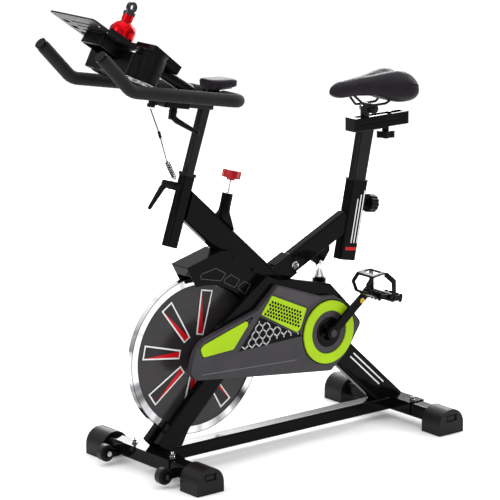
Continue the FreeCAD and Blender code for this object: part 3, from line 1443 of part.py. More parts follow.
def seat_slider():
    """Bar inside the channel with the upright stub of the saddle clamp."""
    half = CHANNEL_WIDTH / 2 - CHANNEL_WALL - GAP
    low, high = CHANNEL_LOW + CHANNEL_WALL + 3, CHANNEL_TOP - CHANNEL_WALL - GAP
    bar_body = block(STUB_X - 24, STUB_X + 98, -half, half, low, high)
    stub = rod(V(STUB_X, 0, high - 2), V(STUB_X, 0, STUB_TOP), STUB_R)
    stop = rod(V(STUB_X + 92, 0, high - 2), V(STUB_X + 92, 0, CHANNEL_TOP + 4), 7)
    return fused([bar_body, stub, stop, clamp_core()])


def seat_knob():
    """Lobed clamping knob under the channel with its screw."""
    head = lobed_knob(V(SEAT_KNOB_X, 0, 843), V(0, 0, 1), 27, 20, 5)
    hub = rod(V(SEAT_KNOB_X, 0, 863), V(SEAT_KNOB_X, 0, 873.5), 10)
    screw = rod(V(SEAT_KNOB_X, 0, 870), V(SEAT_KNOB_X, 0, 882), 5)
    return fused([head, hub, screw])


def clamp_core():
    """Fixed middle of the saddle clamp, on top of the stub."""
    return y_disc(SADDLE_PIVOT, 14, -18, 18)


def saddle_rails():
    """Both bent rails, each with the clamp jaw that grips it."""
    shapes = []
    for side in (-1, 1):
        path = [V(384, side * 12, 986), V(424, side * 22.5, 947), V(500, side * 22.5, 947),
                V(538, side * 30, 970)]
        rail = bent_rod(path, 3.5, 14)
        y0, y1 = sorted((side * 18.4, side * 27))
        jaw = y_disc(SADDLE_PIVOT, 13, y0, y1)
        y2, y3 = sorted((side * 26, side * 31))
        bolt = y_disc(SADDLE_PIVOT, 7, y2, y3)
        shapes.append(fused([rail, jaw, bolt]))
    return Part.makeCompound(shapes)


def saddle_shell():
    """Simple closed body of the saddle: a pear-shaped plan cut to a swayed side profile."""
    half = SADDLE_HALF_WIDTH
    nose, tail = SADDLE_NOSE, SADDLE_TAIL
    plan = []
    curve = [V(nose + 8, 22, 0), V(nose + 70, 25, 0), V(nose + 130, 42, 0), V(nose + 185, half - 10, 0),
             V(nose + 228, half, 0), V(tail - 14, half - 16, 0)]
    spline = Part.BSplineCurve()
    spline.interpolate(curve)
    plan.append(spline.toShape())
    plan.append(Part.Arc(curve[-1], V(tail, 0, 0), V(curve[-1].x, -curve[-1].y, 0)).toShape())
    back = Part.BSplineCurve()
    back.interpolate([V(p.x, -p.y, 0) for p in reversed(curve)])
    plan.append(back.toShape())
    plan.append(Part.Arc(V(curve[0].x, -curve[0].y, 0), V(nose, 0, 0), curve[0]).toShape())
    body = Part.Face(Part.Wire(plan)).extrude(V(0, 0, 200))
    body.translate(V(0, 0, 900))
    profile = [(nose - 5, 992), (nose + 4, 984), (nose + 60, 979), (nose + 120, 976),
               (nose + 190, 962), (nose + 225, 950), (tail - 40, 950), (tail - 10, 962),
               (tail + 2, 990), (tail - 6, 1014), (tail - 30, 1031), (nose + 200, 1034),
               (nose + 150, 1029), (nose + 80, 1021), (nose + 20, 1018), (nose - 5, 1008)]
    side_view = plate(profile, -120, 120)
    return body.common(side_view).cut(saddle_rails())


# ---------------------------------------------------------------- sensor cord

def cord_lead():
    """Lead from the clip to the coil, with its in-line connector."""
    lead = bent_rod([CORD_TOP, CORD_MID, COIL_TOP], CORD_R, 60)
    direction = unit_between(CORD_MID, COIL_TOP)
    connector = rod(step(CORD_MID, direction, -6), step(CORD_MID, direction, 12), 4)
    return fused([lead, connector])


def cord_coil():
    """Outer shape of the coiled stretch, down to the lever boss."""
    direction = unit_between(COIL_TOP, COIL_LOW)
    return rod(step(COIL_TOP, direction, COIL_GAP), step(COIL_LOW, direction, -COIL_GAP), COIL_R)


# ---------------------------------------------------------------- assembly

def group(*shapes):
    """Separate solids of one kind that share a file."""
    return Part.makeCompound(list(shapes))


def both(maker):
    return [maker(-1), maker(1)]


def frame_parts():
    front_bush = sliding_bush(FRONT_POST, FRONT_TILT, FRONT_TOP_Z, (FRONT_WIDTH, FRONT_DEPTH),
                              FRONT_CORNER, (BAR_POST_WIDTH, BAR_POST_DEPTH), 9)
    front_bush = front_bush.cut(lever_rod(0, 40, LEVER_STUD_R + 0.5))
    seat_bush = sliding_bush(SEAT_POST, SEAT_TILT, SEAT_TOP_Z, (SEAT_WIDTH, SEAT_DEPTH),
                             SEAT_CORNER, (SEAT_IN_WIDTH, SEAT_IN_DEPTH), 3)
    seat_bush = seat_bush.cut(pin_rod(0, 40, PIN_R + 0.5))
    bolts = stay_bolts() + saddle_bolts() + both(transport_bolt)
    caps = [end_cap(x, side) for x in (FRONT_STAB, REAR_STAB) for side in (-1, 1)]
    return {"main_beam": main_beam(), "rear_stay": rear_stay(), "fork": fork(),
            "front_post_tube": front_post_tube(), "front_post_bush": front_bush,
            "seat_tube": seat_tube(), "seat_tube_bush": seat_bush, "base_frame": base_frame(),
            "end_caps": group(*caps), "frame_bolts": group(*bolts),
            "stabilisers": group(front_stabiliser(), stabiliser_tube(REAR_STAB)),
            "bearings": group(*(both(wheel_bearing) + both(crank_bearing)))}


def cover_parts():
    return {"cover_base": cover_base(), "cover_front": cover_front(), "cover_ring": ring_trim(),
            "cover_panels": group(accent_panel(), mesh_panel()), "drive_belt": belt(),
            "fender": group(fender(), *fender_screws()), "strut_neck": group(strut_neck(), strut_pin())}


def turning_parts():
    hardware = [crank_axle()] + both(crank_cap) + both(pedal_spindle)
    parts = {"flywheel_disc": flywheel_disc(), "flywheel_rim": flywheel_rim(),
             "flywheel_axle": flywheel_axle(), "crank_hardware": group(*hardware),
             "small_pulley": pulley(WHEEL, SMALL_PULLEY_R, WHEEL_AXLE_R),
             "big_pulley": pulley(CRANK, BIG_PULLEY_R, CRANK_AXLE_R),
             "crank_arms": group(*both(crank_arm))}
    for hand, side in (("left", -1), ("right", 1)):
        pitch = PEDAL_PITCH[hand]
        parts["pedal_" + hand] = place_pedal(pedal_frame(), side, pitch)
        parts["toe_cage_" + hand] = place_pedal(toe_cage_shape(), side, pitch)
        parts["transport_wheel_" + hand] = transport_wheel(side)
    return parts


def control_parts():
    return {"brake_rod": brake_rod(), "brake_knob": brake_knob(), "brake_pad": brake_pad(),
            "post_lever": post_lever(), "pin_knob": pin_knob()}


def bar_parts():
    return {"bar_post": bar_post(), "rail_cap": rail_cap(), "handlebar": handlebar(),
            "carriage_lever": carriage_lever(), "arm_pad": arm_pad(),
            "foam_grips": group(*both(foam_grip))}


def console_parts():
    return {"tablet_tray": tablet_tray(), "console_body": console_body(),
            "console_bracket": console_bracket(), "display_case": display_case(),
            "display_screen": display_screen(), "display_button": display_button(),
            "bottle": bottle(), "bottle_cap": bottle_cap()}


def seat_parts():
    front = channel_plug(CHANNEL_FRONT - 6, CHANNEL_FRONT, 1)
    rear = channel_plug(CHANNEL_REAR, CHANNEL_REAR + 5, 0)
    return {"seat_post": seat_post(), "seat_channel": seat_channel(),
            "channel_plugs": group(front, rear), "seat_slider": seat_slider(),
            "seat_knob": seat_knob(), "saddle_rails": saddle_rails(), "saddle": saddle_shell()}


def main():
    parts = {"cord_lead": cord_lead(), "cord_coil": cord_coil()}
    for maker in (frame_parts, cover_parts, turning_parts, control_parts, bar_parts,
                  console_parts, seat_parts):
        parts.update(maker())
    os.makedirs("parts", exist_ok=True)
    for name, shape in parts.items():
        shape.exportStep(os.path.join("parts", name + ".step"))
        print(name, len(shape.Solids), round(shape.Volume), shape.isValid())
    print(len(parts), "parts")


main()
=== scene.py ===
"""Looks for the indoor cycling exercise bike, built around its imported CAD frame."""

import json
import math

import bpy
from mathutils import Matrix, Vector

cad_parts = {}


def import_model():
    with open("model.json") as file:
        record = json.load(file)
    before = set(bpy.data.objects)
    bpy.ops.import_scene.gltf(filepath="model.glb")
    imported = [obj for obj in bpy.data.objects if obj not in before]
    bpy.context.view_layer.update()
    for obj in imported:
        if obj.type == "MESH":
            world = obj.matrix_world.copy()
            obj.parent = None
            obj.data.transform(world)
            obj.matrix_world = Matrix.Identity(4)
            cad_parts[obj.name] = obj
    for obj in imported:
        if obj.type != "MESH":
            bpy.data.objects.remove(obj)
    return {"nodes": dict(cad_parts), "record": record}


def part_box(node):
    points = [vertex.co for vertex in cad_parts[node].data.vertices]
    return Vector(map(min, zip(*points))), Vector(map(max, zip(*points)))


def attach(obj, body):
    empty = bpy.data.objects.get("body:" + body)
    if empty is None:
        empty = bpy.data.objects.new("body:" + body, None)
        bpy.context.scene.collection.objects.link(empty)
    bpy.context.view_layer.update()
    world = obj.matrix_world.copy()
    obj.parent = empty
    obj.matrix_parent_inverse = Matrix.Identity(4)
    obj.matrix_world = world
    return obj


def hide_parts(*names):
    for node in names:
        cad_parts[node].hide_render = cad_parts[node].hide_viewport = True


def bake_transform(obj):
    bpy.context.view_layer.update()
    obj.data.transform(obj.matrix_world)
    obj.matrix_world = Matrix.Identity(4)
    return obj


# ---------------------------------------------------------------- placement (metres, row frame)

CAMERA_AZIMUTH, CAMERA_ELEVATION, CAMERA_ROLL = -38.42, 13.55, -0.23
CAMERA_DISTANCE = 8.31
CAMERA_TARGET = Vector((0.017, 0.0, 0.5828))
CAMERA_LENS, SENSOR = 212.7, 36.0

WHEEL = Vector((-0.183, 0.0, 0.313))
CRANK = Vector((0.239, 0.0, 0.323))
COVER_FACE_Y = -0.078
BAR_Y = 0.137


# ---------------------------------------------------------------- material helpers

def new_material(name):
    """Empty material with one shader wired to its output."""
    material = bpy.data.materials.new(name)
    material.use_nodes = True
    tree = material.node_tree
    tree.nodes.clear()
    output = tree.nodes.new("ShaderNodeOutputMaterial")
    shader = tree.nodes.new("ShaderNodeBsdfPrincipled")
    tree.links.new(shader.outputs["BSDF"], output.inputs["Surface"])
    return material, tree, shader


def add_node(tree, kind, **values):
    """New node with its sockets or settings given by name."""
    node = tree.nodes.new(kind)
    for key, value in values.items():
        if key in node.inputs:
            node.inputs[key].default_value = value
        else:
            setattr(node, key, value)
    return node


def object_coords(tree, scale=(1.0, 1.0, 1.0)):
    """Object coordinates, stretched by scale."""
    coords = tree.nodes.new("ShaderNodeTexCoord")
    mapping = add_node(tree, "ShaderNodeMapping", Scale=scale)
    tree.links.new(coords.outputs["Object"], mapping.inputs["Vector"])
    return mapping.outputs["Vector"]


def noise(tree, vector, scale, detail=3.0, roughness=0.5):
    node = add_node(tree, "ShaderNodeTexNoise", Scale=scale, Detail=detail, Roughness=roughness)
    tree.links.new(vector, node.inputs["Vector"])
    return node.outputs["Fac"]


def ramp(tree, factor, stops):
    """Colour ramp from (position, colour) pairs."""
    node = tree.nodes.new("ShaderNodeValToRGB")
    elements = node.color_ramp.elements
    elements[0].position, elements[0].color = stops[0][0], (*stops[0][1], 1.0)
    elements[1].position, elements[1].color = stops[-1][0], (*stops[-1][1], 1.0)
    for position, color in stops[1:-1]:
        elements.new(position).color = (*color, 1.0)
    tree.links.new(factor, node.inputs["Fac"])
    return node.outputs["Color"]


def spread(tree, factor, low, high):
    """Maps a 0..1 factor to a range."""
    node = add_node(tree, "ShaderNodeMapRange")
    node.inputs["To Min"].default_value = low
    node.inputs["To Max"].default_value = high
    tree.links.new(factor, node.inputs["Value"])
    return node.outputs["Result"]


def bump(tree, shader, height, strength, distance):
    """Relief from a height factor; the node is returned so that its normal can be set."""
    node = add_node(tree, "ShaderNodeBump", Strength=strength, Distance=distance)
    tree.links.new(height, node.inputs["Height"])
    tree.links.new(node.outputs["Normal"], shader.inputs["Normal"])
    return node


def soften_edges(tree, relief, radius):
    """Round the sharp edges in shading, so that they catch a thin line of light."""
    rounded = add_node(tree, "ShaderNodeBevel", Radius=radius)
    tree.links.new(rounded.outputs["Normal"], relief.inputs["Normal"])


def shade(color, factor):
    """Colour made darker or lighter, kept at or below white."""
    return tuple(min(1.0, c * factor) for c in color)


# ---------------------------------------------------------------- materials

EDGE_RADIUS = 0.002


def coated(name, color, rough, gloss=0.5, grain=900.0, depth=0.00002, vary=0.12):
    """Paint or moulded plastic: slight tone drift, fine grain in bump and roughness."""
    material, tree, shader = new_material(name)
    vector = object_coords(tree)
    drift = noise(tree, vector, 14.0, 4.0)
    tree.links.new(ramp(tree, drift, [(0.3, shade(color, 1 - vary)), (0.7, shade(color, 1 + vary))]),
                   shader.inputs["Base Color"])
    fine = noise(tree, vector, grain, 2.0)
    tree.links.new(spread(tree, fine, rough * 0.85, rough * 1.2), shader.inputs["Roughness"])
    relief = bump(tree, shader, fine, 0.35, depth)
    soften_edges(tree, relief, EDGE_RADIUS)
    shader.inputs["Specular IOR Level"].default_value = gloss
    return material


def metal(name, color, rough, stretch=(1.0, 1.0, 1.0), depth=0.00001):
    """Plated or turned metal with faint directional marks."""
    material, tree, shader = new_material(name)
    vector = object_coords(tree, stretch)
    marks = noise(tree, vector, 260.0, 4.0)
    tree.links.new(ramp(tree, marks, [(0.25, shade(color, 0.88)), (0.75, color)]),
                   shader.inputs["Base Color"])
    tree.links.new(spread(tree, marks, rough * 0.7, rough * 1.5), shader.inputs["Roughness"])
    shader.inputs["Metallic"].default_value = 1.0
    bump(tree, shader, marks, 0.2, depth)
    return material


def leather(name, color):
    """Vinyl cover: pebbled grain with a low gloss."""
    material, tree, shader = new_material(name)
    vector = object_coords(tree)
    cells = add_node(tree, "ShaderNodeTexVoronoi", Scale=520.0)
    tree.links.new(vector, cells.inputs["Vector"])
    drift = noise(tree, vector, 20.0)
    tree.links.new(ramp(tree, drift, [(0.3, shade(color, 0.8)), (0.7, shade(color, 1.25))]),
                   shader.inputs["Base Color"])
    tree.links.new(spread(tree, cells.outputs["Distance"], 0.42, 0.58), shader.inputs["Roughness"])
    bump(tree, shader, cells.outputs["Distance"], 0.4, 0.0002)
    shader.inputs["Specular IOR Level"].default_value = 0.1
    return material


def foam(name, color):
    """Closed-cell foam sleeve: matte, minutely pitted."""
    material, tree, shader = new_material(name)
    vector = object_coords(tree)
    pits = add_node(tree, "ShaderNodeTexVoronoi", Scale=1100.0)
    tree.links.new(vector, pits.inputs["Vector"])
    drift = noise(tree, vector, 30.0)
    tree.links.new(ramp(tree, drift, [(0.3, shade(color, 0.88)), (0.7, shade(color, 1.12))]),
                   shader.inputs["Base Color"])
    shader.inputs["Roughness"].default_value = 0.72
    shader.inputs["Sheen Weight"].default_value = 0.03
    shader.inputs["Sheen Roughness"].default_value = 0.5
    shader.inputs["Specular IOR Level"].default_value = 0.15
    bump(tree, shader, pits.outputs["Distance"], 0.5, 0.0003)
    return material


def clear_red(name, color):
    """Tinted plastic that lets a little light through."""
    material = coated(name, color, 0.12, gloss=0.5, grain=300.0)
    shader = material.node_tree.nodes["Principled BSDF"]
    shader.inputs["Transmission Weight"].default_value = 0.25
    return material


def screen_glass(name):
    """Unlit display: grey-green film with faint segment columns."""
    material, tree, shader = new_material(name)
    vector = object_coords(tree, (60.0, 60.0, 60.0))
    columns = add_node(tree, "ShaderNodeTexWave", Scale=6.0, Distortion=0.0)
    tree.links.new(vector, columns.inputs["Vector"])
    tree.links.new(ramp(tree, columns.outputs["Fac"], [(0.2, (0.16, 0.19, 0.16)), (0.9, (0.2, 0.24, 0.2))]),
                   shader.inputs["Base Color"])
    shader.inputs["Roughness"].default_value = 0.08
    return material


def radius_from(tree, centre):
    """Distance of the shaded point from the line along Y through a centre."""
    coords = tree.nodes.new("ShaderNodeTexCoord")
    shift = add_node(tree, "ShaderNodeVectorMath", operation="SUBTRACT")
    shift.inputs[1].default_value = centre
    tree.links.new(coords.outputs["Object"], shift.inputs[0])
    parts = tree.nodes.new("ShaderNodeSeparateXYZ")
    tree.links.new(shift.outputs["Vector"], parts.inputs["Vector"])
    flat = tree.nodes.new("ShaderNodeCombineXYZ")
    tree.links.new(parts.outputs["X"], flat.inputs["X"])
    tree.links.new(parts.outputs["Z"], flat.inputs["Y"])
    size = add_node(tree, "ShaderNodeVectorMath", operation="LENGTH")
    tree.links.new(flat.outputs["Vector"], size.inputs[0])
    return size.outputs["Value"]


TOOL_MARKS_PER_METRE = 2600.0


def turned_disc(name, color, rough, metallic):
    """Faced disc: fine concentric tool marks about the wheel's axle."""
    material, tree, shader = new_material(name)
    radius = radius_from(tree, WHEEL)
    rings = add_node(tree, "ShaderNodeMath", operation="MULTIPLY")
    tree.links.new(radius, rings.inputs[0])
    rings.inputs[1].default_value = TOOL_MARKS_PER_METRE
    wave = add_node(tree, "ShaderNodeMath", operation="SINE")
    tree.links.new(rings.outputs["Value"], wave.inputs[0])
    drift = noise(tree, object_coords(tree), 9.0)
    tree.links.new(ramp(tree, drift, [(0.3, shade(color, 0.85)), (0.7, shade(color, 1.15))]),
                   shader.inputs["Base Color"])
    shader.inputs["Metallic"].default_value = metallic
    shader.inputs["Roughness"].default_value = rough
    shader.inputs["Specular IOR Level"].default_value = 0.25
    bump(tree, shader, wave.outputs["Value"], 0.15, 0.00003)
    return material


def rim_with_painted_reflections(name):
    """Polished wheel rim: bright, with painted reflections as dark sweeps round the axle, set in the base
    colour so they turn with the wheel, and a faint grain.
    """
    material, tree, shader = new_material(name)
    coords = tree.nodes.new("ShaderNodeTexCoord")
    shift = add_node(tree, "ShaderNodeVectorMath", operation="SUBTRACT")
    shift.inputs[1].default_value = WHEEL
    tree.links.new(coords.outputs["Object"], shift.inputs[0])
    flat = add_node(tree, "ShaderNodeVectorMath", operation="MULTIPLY")
    flat.inputs[1].default_value = (1.0, 0.0, 1.0)
    tree.links.new(shift.outputs["Vector"], flat.inputs[0])
    spoke = add_node(tree, "ShaderNodeVectorMath", operation="NORMALIZE")
    tree.links.new(flat.outputs["Vector"], spoke.inputs[0])
    # Painted reflection: the dark and bright sweeps round the axle are base colour, not reflected light.
    painted_reflection_sweep = noise(tree, spoke.outputs["Vector"], 1.9, 2.0, 0.55)
    tree.links.new(ramp(tree, painted_reflection_sweep, [(0.36, (0.03, 0.03, 0.032)), (0.43, (0.3, 0.3, 0.31)),
                                      (0.5, (0.72, 0.72, 0.74))]), shader.inputs["Base Color"])
    shader.inputs["Metallic"].default_value = 1.0
    shader.inputs["Roughness"].default_value = 0.1
    bump(tree, shader, noise(tree, coords.outputs["Object"], 400.0), 0.1, 0.00001)
    return material


def make_materials():
    """Materials by name: the record's slots, then those used only by printed pieces and LOOKS."""
    black = (0.0028, 0.0027, 0.0029)
    return {
        "painted_black": coated("gloss_black_paint", black, 0.1, gloss=0.06),
        "satin_black": coated("satin_black_tube", (0.005, 0.005, 0.0055), 0.2, gloss=0.16),
        "chrome": metal("polished_chrome", (0.8, 0.8, 0.82), 0.06),
        # The rim's material carries painted reflections in its base colour.
        "rim_chrome_painted_reflections": rim_with_painted_reflections("rim_chrome_painted_reflections"),
        "steel": metal("turned_steel", (0.55, 0.55, 0.57), 0.25, (1.0, 6.0, 1.0)),
        "cast_black": turned_disc("wheel_paint", (0.028, 0.025, 0.027), 0.2, 0.0),
        "cap_grey": coated("cap_plastic", (0.006, 0.005, 0.006), 0.4, gloss=0.16, grain=700.0,
                           depth=0.00006),
        "black_plastic": coated("black_plastic", (0.003, 0.003, 0.0033), 0.28, gloss=0.09,
                                grain=800.0, depth=0.00005),
        "shell_black": coated("shell_black", black, 0.12, gloss=0.06),
        "shell_grey": coated("shell_grey", (0.036, 0.033, 0.037), 0.3, gloss=0.2),
        "green": coated("lime_green", (0.36, 0.58, 0.004), 0.3, gloss=0.15, vary=0.05),
        "belt_rubber": coated("belt_rubber", (0.02, 0.02, 0.02), 0.7, gloss=0.2),
        "wheel_rubber": coated("wheel_rubber", (0.010, 0.009, 0.010), 0.4, gloss=0.2, depth=0.00006),
        "foam": foam("grip_foam", (0.011, 0.0095, 0.011)),
        "leather": leather("saddle_vinyl", (0.012, 0.0098, 0.013)),
        "red_knob": clear_red("red_knob", (0.45, 0.004, 0.01)),
        "bottle_red": metal("bottle_enamel", (0.5, 0.004, 0.008), 0.16),
        "gunmetal": metal("gunmetal", (0.045, 0.043, 0.046), 0.3),
        "felt": coated("felt_grey", (0.12, 0.11, 0.1), 0.9, grain=1500.0, depth=0.0003),
        "screen": screen_glass("display_window"),
        "cord": coated("cord_sheath", (0.003, 0.003, 0.003), 0.5, gloss=0.05),
        "film_white": coated("film_white", (0.85, 0.85, 0.85), 0.3, gloss=0.2, vary=0.03),
        "film_dark": coated("film_dark", (0.018, 0.016, 0.018), 0.3, gloss=0.2),
        "film_red": coated("film_red", (0.55, 0.006, 0.010), 0.3, gloss=0.15, vary=0.06),
        "film_silver": coated("film_silver", (0.5, 0.5, 0.52), 0.3, vary=0.05),
        "film_silver_dim": coated("film_silver_dim", (0.12, 0.12, 0.125), 0.3, vary=0.05),
        "film_grey": coated("film_grey", (0.055, 0.051, 0.056), 0.35, gloss=0.2),
        "film_yellow": coated("film_yellow", (0.75, 0.50, 0.03), 0.4, gloss=0.2, vary=0.05),
        "raised_line": coated("raised_line", (0.035, 0.035, 0.037), 0.3),
    }


# CAD nodes that take another look than their slot's
LOOKS = {"flywheel_rim": "rim_chrome_painted_reflections", "crank_hardware": "gunmetal", "bottle_cap": "gunmetal"}


def dress_frame(frame, materials):
    """Give every CAD node its material from LOOKS, or else the material of its slot."""
    slots = {part["node"]: part["material_slot"] for part in frame["record"]["subparts"]}
    for name, node in frame["nodes"].items():
        node.data.materials.clear()
        node.data.materials.append(materials[LOOKS.get(name, slots[name])])


# ---------------------------------------------------------------- mesh helpers

def mesh_object(name, vertices, faces, material, smooth=True):
    """Object in the scene from a list of vertices and faces."""
    mesh = bpy.data.meshes.new(name)
    mesh.from_pydata([tuple(v) for v in vertices], [], faces)
    mesh.update()
    piece = bpy.data.objects.new(name, mesh)
    bpy.context.scene.collection.objects.link(piece)
    mesh.materials.append(material)
    mesh.polygons.foreach_set("use_smooth", [smooth] * len(mesh.polygons))
    return piece


# ---------------------------------------------------------------- soft pieces

def eased(table, t):
    """Value at t from (t, value) rows, eased smoothly from row to row."""
    if t <= table[0][0]:
        return table[0][1]
    for (t0, v0), (t1, v1) in zip(table, table[1:]):
        if t <= t1:
            s = (t - t0) / (t1 - t0)
            return v0 + (v1 - v0) * s * s * (3 - 2 * s)
    return table[-1][1]


def straight(table, t):
    """Value at t from (t, value) rows, along straight runs."""
    if t <= table[0][0]:
        return table[0][1]
    for (t0, v0), (t1, v1) in zip(table, table[1:]):
        if t <= t1:
            return v0 + (v1 - v0) * (t - t0) / (t1 - t0)
    return table[-1][1]


SADDLE_NOSE_X, SADDLE_TAIL_X = 0.316, 0.592
SADDLE_WIDTH = [(0.0, 0.012), (0.03, 0.021), (0.1, 0.0255), (0.3, 0.030), (0.45, 0.040),
                (0.6, 0.062), (0.72, 0.081), (0.84, 0.0885), (0.93, 0.085), (0.975, 0.070),
                (0.993, 0.05), (1.0, 0.030)]
SADDLE_TOP = [(0.0, 1.000), (0.03, 1.015), (0.1, 1.0235), (0.3, 1.0275), (0.5, 1.0315),
              (0.68, 1.0375), (0.8, 1.041), (0.9, 1.037), (0.96, 1.024), (0.99, 1.006), (1.0, 0.994)]
SADDLE_EDGE = 0.42
GROOVE_DEPTH, GROOVE_HALF = [(0.35, 0.0), (0.6, 0.004), (0.85, 0.010), (1.0, 0.012)], 0.2
LOBE_FALL = 0.003
SADDLE_LOW = [(0.0, 0.990), (0.03, 0.982), (0.1, 0.978), (0.3, 0.9785), (0.5, 0.973),
              (0.66, 0.957), (0.8, 0.946), (0.9, 0.945), (0.97, 0.957), (1.0, 0.984)]


def saddle_point(t, turn):
    """Point of the cover: t runs nose to tail, turn runs round from the right edge over the top."""
    half, top, low = (straight(table, t) for table in (SADDLE_WIDTH, SADDLE_TOP, SADDLE_LOW))
    cosine, sine = math.cos(turn), math.sin(turn)
    edge = low + (top - low) * SADDLE_EDGE
    y = half * math.copysign(abs(cosine) ** 0.82, cosine)
    if sine >= 0:
        z = edge + (top - edge) * sine ** 0.78
    else:
        z = edge - (edge - low) * (-sine) ** 0.55
        y *= 0.8 + 0.2 * (1 + sine)
    across = y / max(half, 1e-6)
    if sine > 0:
        z -= eased(GROOVE_DEPTH, t) * math.exp(-(across / GROOVE_HALF) ** 2)
        z -= LOBE_FALL * eased([(0.5, 0.0), (0.8, 1.0)], t) * across ** 4
    return Vector((SADDLE_NOSE_X + (SADDLE_TAIL_X - SADDLE_NOSE_X) * t, y, z))


def lofted(name, point, stations, around, material):
    """Closed form from rings of points, capped at both ends."""
    vertices = [point(t, 2 * math.pi * i / around) for t in stations for i in range(around)]
    faces = []
    for row in range(len(stations) - 1):
        for i in range(around):
            a, b = row * around + i, row * around + (i + 1) % around
            faces.append((a, a + around, b + around, b))
    faces.append(tuple(range(around)))
    last = (len(stations) - 1) * around
    faces.append(tuple(reversed(range(last, last + around))))
    return mesh_object(name, vertices, faces, material)


def subdivide(piece):
    """Smooth a form by one level of subdivision."""
    modifier = piece.modifiers.new("round", "SUBSURF")
    modifier.levels = 1
    modifier.render_levels = 1


def tube_mesh(name, points, radii, around, material):
    """Tube through points with a radius at each, its frame carried along without twist."""
    vertices = []
    side = (points[1] - points[0]).orthogonal()
    for i, point in enumerate(points):
        before, after = points[max(i - 1, 0)], points[min(i + 1, len(points) - 1)]
        heading = (after - before).normalized()
        side = (side - heading * side.dot(heading)).normalized()
        up = heading.cross(side)
        for k in range(around):
            angle = 2 * math.pi * k / around
            vertices.append(point + (side * math.cos(angle) + up * math.sin(angle)) * radii[i])
    faces = []
    for row in range(len(points) - 1):
        for k in range(around):
            a, b = row * around + k, row * around + (k + 1) % around
            faces.append((a, b, b + around, a + around))
    faces.append(tuple(reversed(range(around))))
    last = (len(points) - 1) * around
    faces.append(tuple(range(last, last + around)))
    return mesh_object(name, vertices, faces, material)


SEAM_STEPS, SEAM_R = 40, 0.0011
SEAM_START, SEAM_RUN = 0.5, 0.47


def add_saddle(materials):
    """Saddle cover, with stations close together where its nose and tail round over."""
    stations = [0.0, 0.008, 0.02, 0.04] + [0.04 + 0.9 * i / 26 for i in range(1, 27)]
    stations += [0.955, 0.968, 0.98, 0.99, 0.996, 1.0]
    saddle = lofted("saddle_cover", saddle_point, stations, 56, materials["leather"])
    subdivide(saddle)
    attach(saddle, "saddle_top")
    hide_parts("saddle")
    for side in (-1, 1):
        add_saddle_seam(side, materials)


def add_saddle_seam(side, materials):
    """Sewn seam that parts the side panel from the top, from mid length to the tail."""
    points = []
    for i in range(SEAM_STEPS):
        t = SEAM_START + SEAM_RUN * i / (SEAM_STEPS - 1)
        rise = eased([(0.5, 0.06), (0.75, 0.42), (1.0, 0.3)], t)
        turn = rise if side > 0 else math.pi - rise
        points.append(saddle_point(t, turn))
    seam = tube_mesh("saddle_seam_%s" % ("right" if side > 0 else "left"), points,
                     [SEAM_R] * len(points), 8, materials["leather"])
    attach(seam, "saddle_top")


PAD_SQUARENESS, PAD_FALL = 4.5, 0.007
PIPING_TURN, PIPING_R = 0.12, 0.001


def pad_point(t, turn):
    """Elbow pad: t runs along X, turn round from the right edge; the top falls to the rear."""
    low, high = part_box("arm_pad")
    middle, half = (low + high) / 2, (high - low) / 2
    s = 2 * t - 1
    bulge = (1 - abs(s) ** PAD_SQUARENESS) ** (1 / PAD_SQUARENESS)
    cosine, sine = math.cos(turn), math.sin(turn)
    y = half.y * bulge * math.copysign(abs(cosine) ** 0.4, cosine)
    z = middle.z + half.z * math.copysign(abs(sine) ** 0.5, sine) * (0.7 + 0.3 * bulge)
    if sine > 0:
        z -= PAD_FALL * t * abs(sine) ** 0.5
    return Vector((middle.x + half.x * s, y, z))


def add_arm_pad(materials):
    """Elbow pad's cover and the piping round its edge."""
    stations = [0.0, 0.004, 0.012, 0.03, 0.06] + [0.06 + 0.88 * i / 16 for i in range(1, 17)]
    stations += [0.97, 0.988, 0.996, 1.0]
    pad = lofted("elbow_pad_cover", pad_point, stations, 48, materials["leather"])
    subdivide(pad)
    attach(pad, "handlebar_carriage")
    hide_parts("arm_pad")
    rim = [pad_point(t, PIPING_TURN) for t in stations]
    rim += [pad_point(t, math.pi - PIPING_TURN) for t in reversed(stations)]
    rim.append(rim[0])
    piping = tube_mesh("elbow_pad_piping", rim, [PIPING_R] * len(rim), 8, materials["leather"])
    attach(piping, "handlebar_carriage")


GRIP_REAR, GRIP_ELBOW, GRIP_TIP = (-0.107, 1.041), (-0.487, 1.113), (-0.583, 1.215)
GRIP_START_Y, GRIP_R = 0.030, 0.018
REAR_BEND, ELBOW_BEND = 0.046, 0.062
GRIP_SPACING, GRIP_WAVE = 0.006, 0.00012
GRIP_END_CUT, GRIP_EDGE_CUT = 0.0035, 0.0008
ARC_STEPS = 12


def rounded_path(corners, bends, spacing):
    """Points along straight runs joined by arcs of the given bend radii."""
    points = [corners[0]]
    last = corners[0]
    for i, bend in zip(range(1, len(corners) - 1), bends):
        here = corners[i]
        back, on = (corners[i - 1] - here).normalized(), (corners[i + 1] - here).normalized()
        half = back.angle(on) / 2
        cut_back = bend / math.tan(half)
        enter = here + back * cut_back
        centre = here + (back + on).normalized() * (bend / math.sin(half))
        steps = max(2, int((enter - last).length / spacing))
        points += [last.lerp(enter, k / steps) for k in range(1, steps + 1)]
        start, turn = enter - centre, math.pi - 2 * half
        axis = back.cross(on)
        for k in range(1, ARC_STEPS + 1):
            points.append(centre + Matrix.Rotation(-turn * k / ARC_STEPS, 3, axis) @ start)
        last = points[-1]
    steps = max(2, int((corners[-1] - last).length / spacing))
    points += [last.lerp(corners[-1], k / steps) for k in range(1, steps + 1)]
    return points


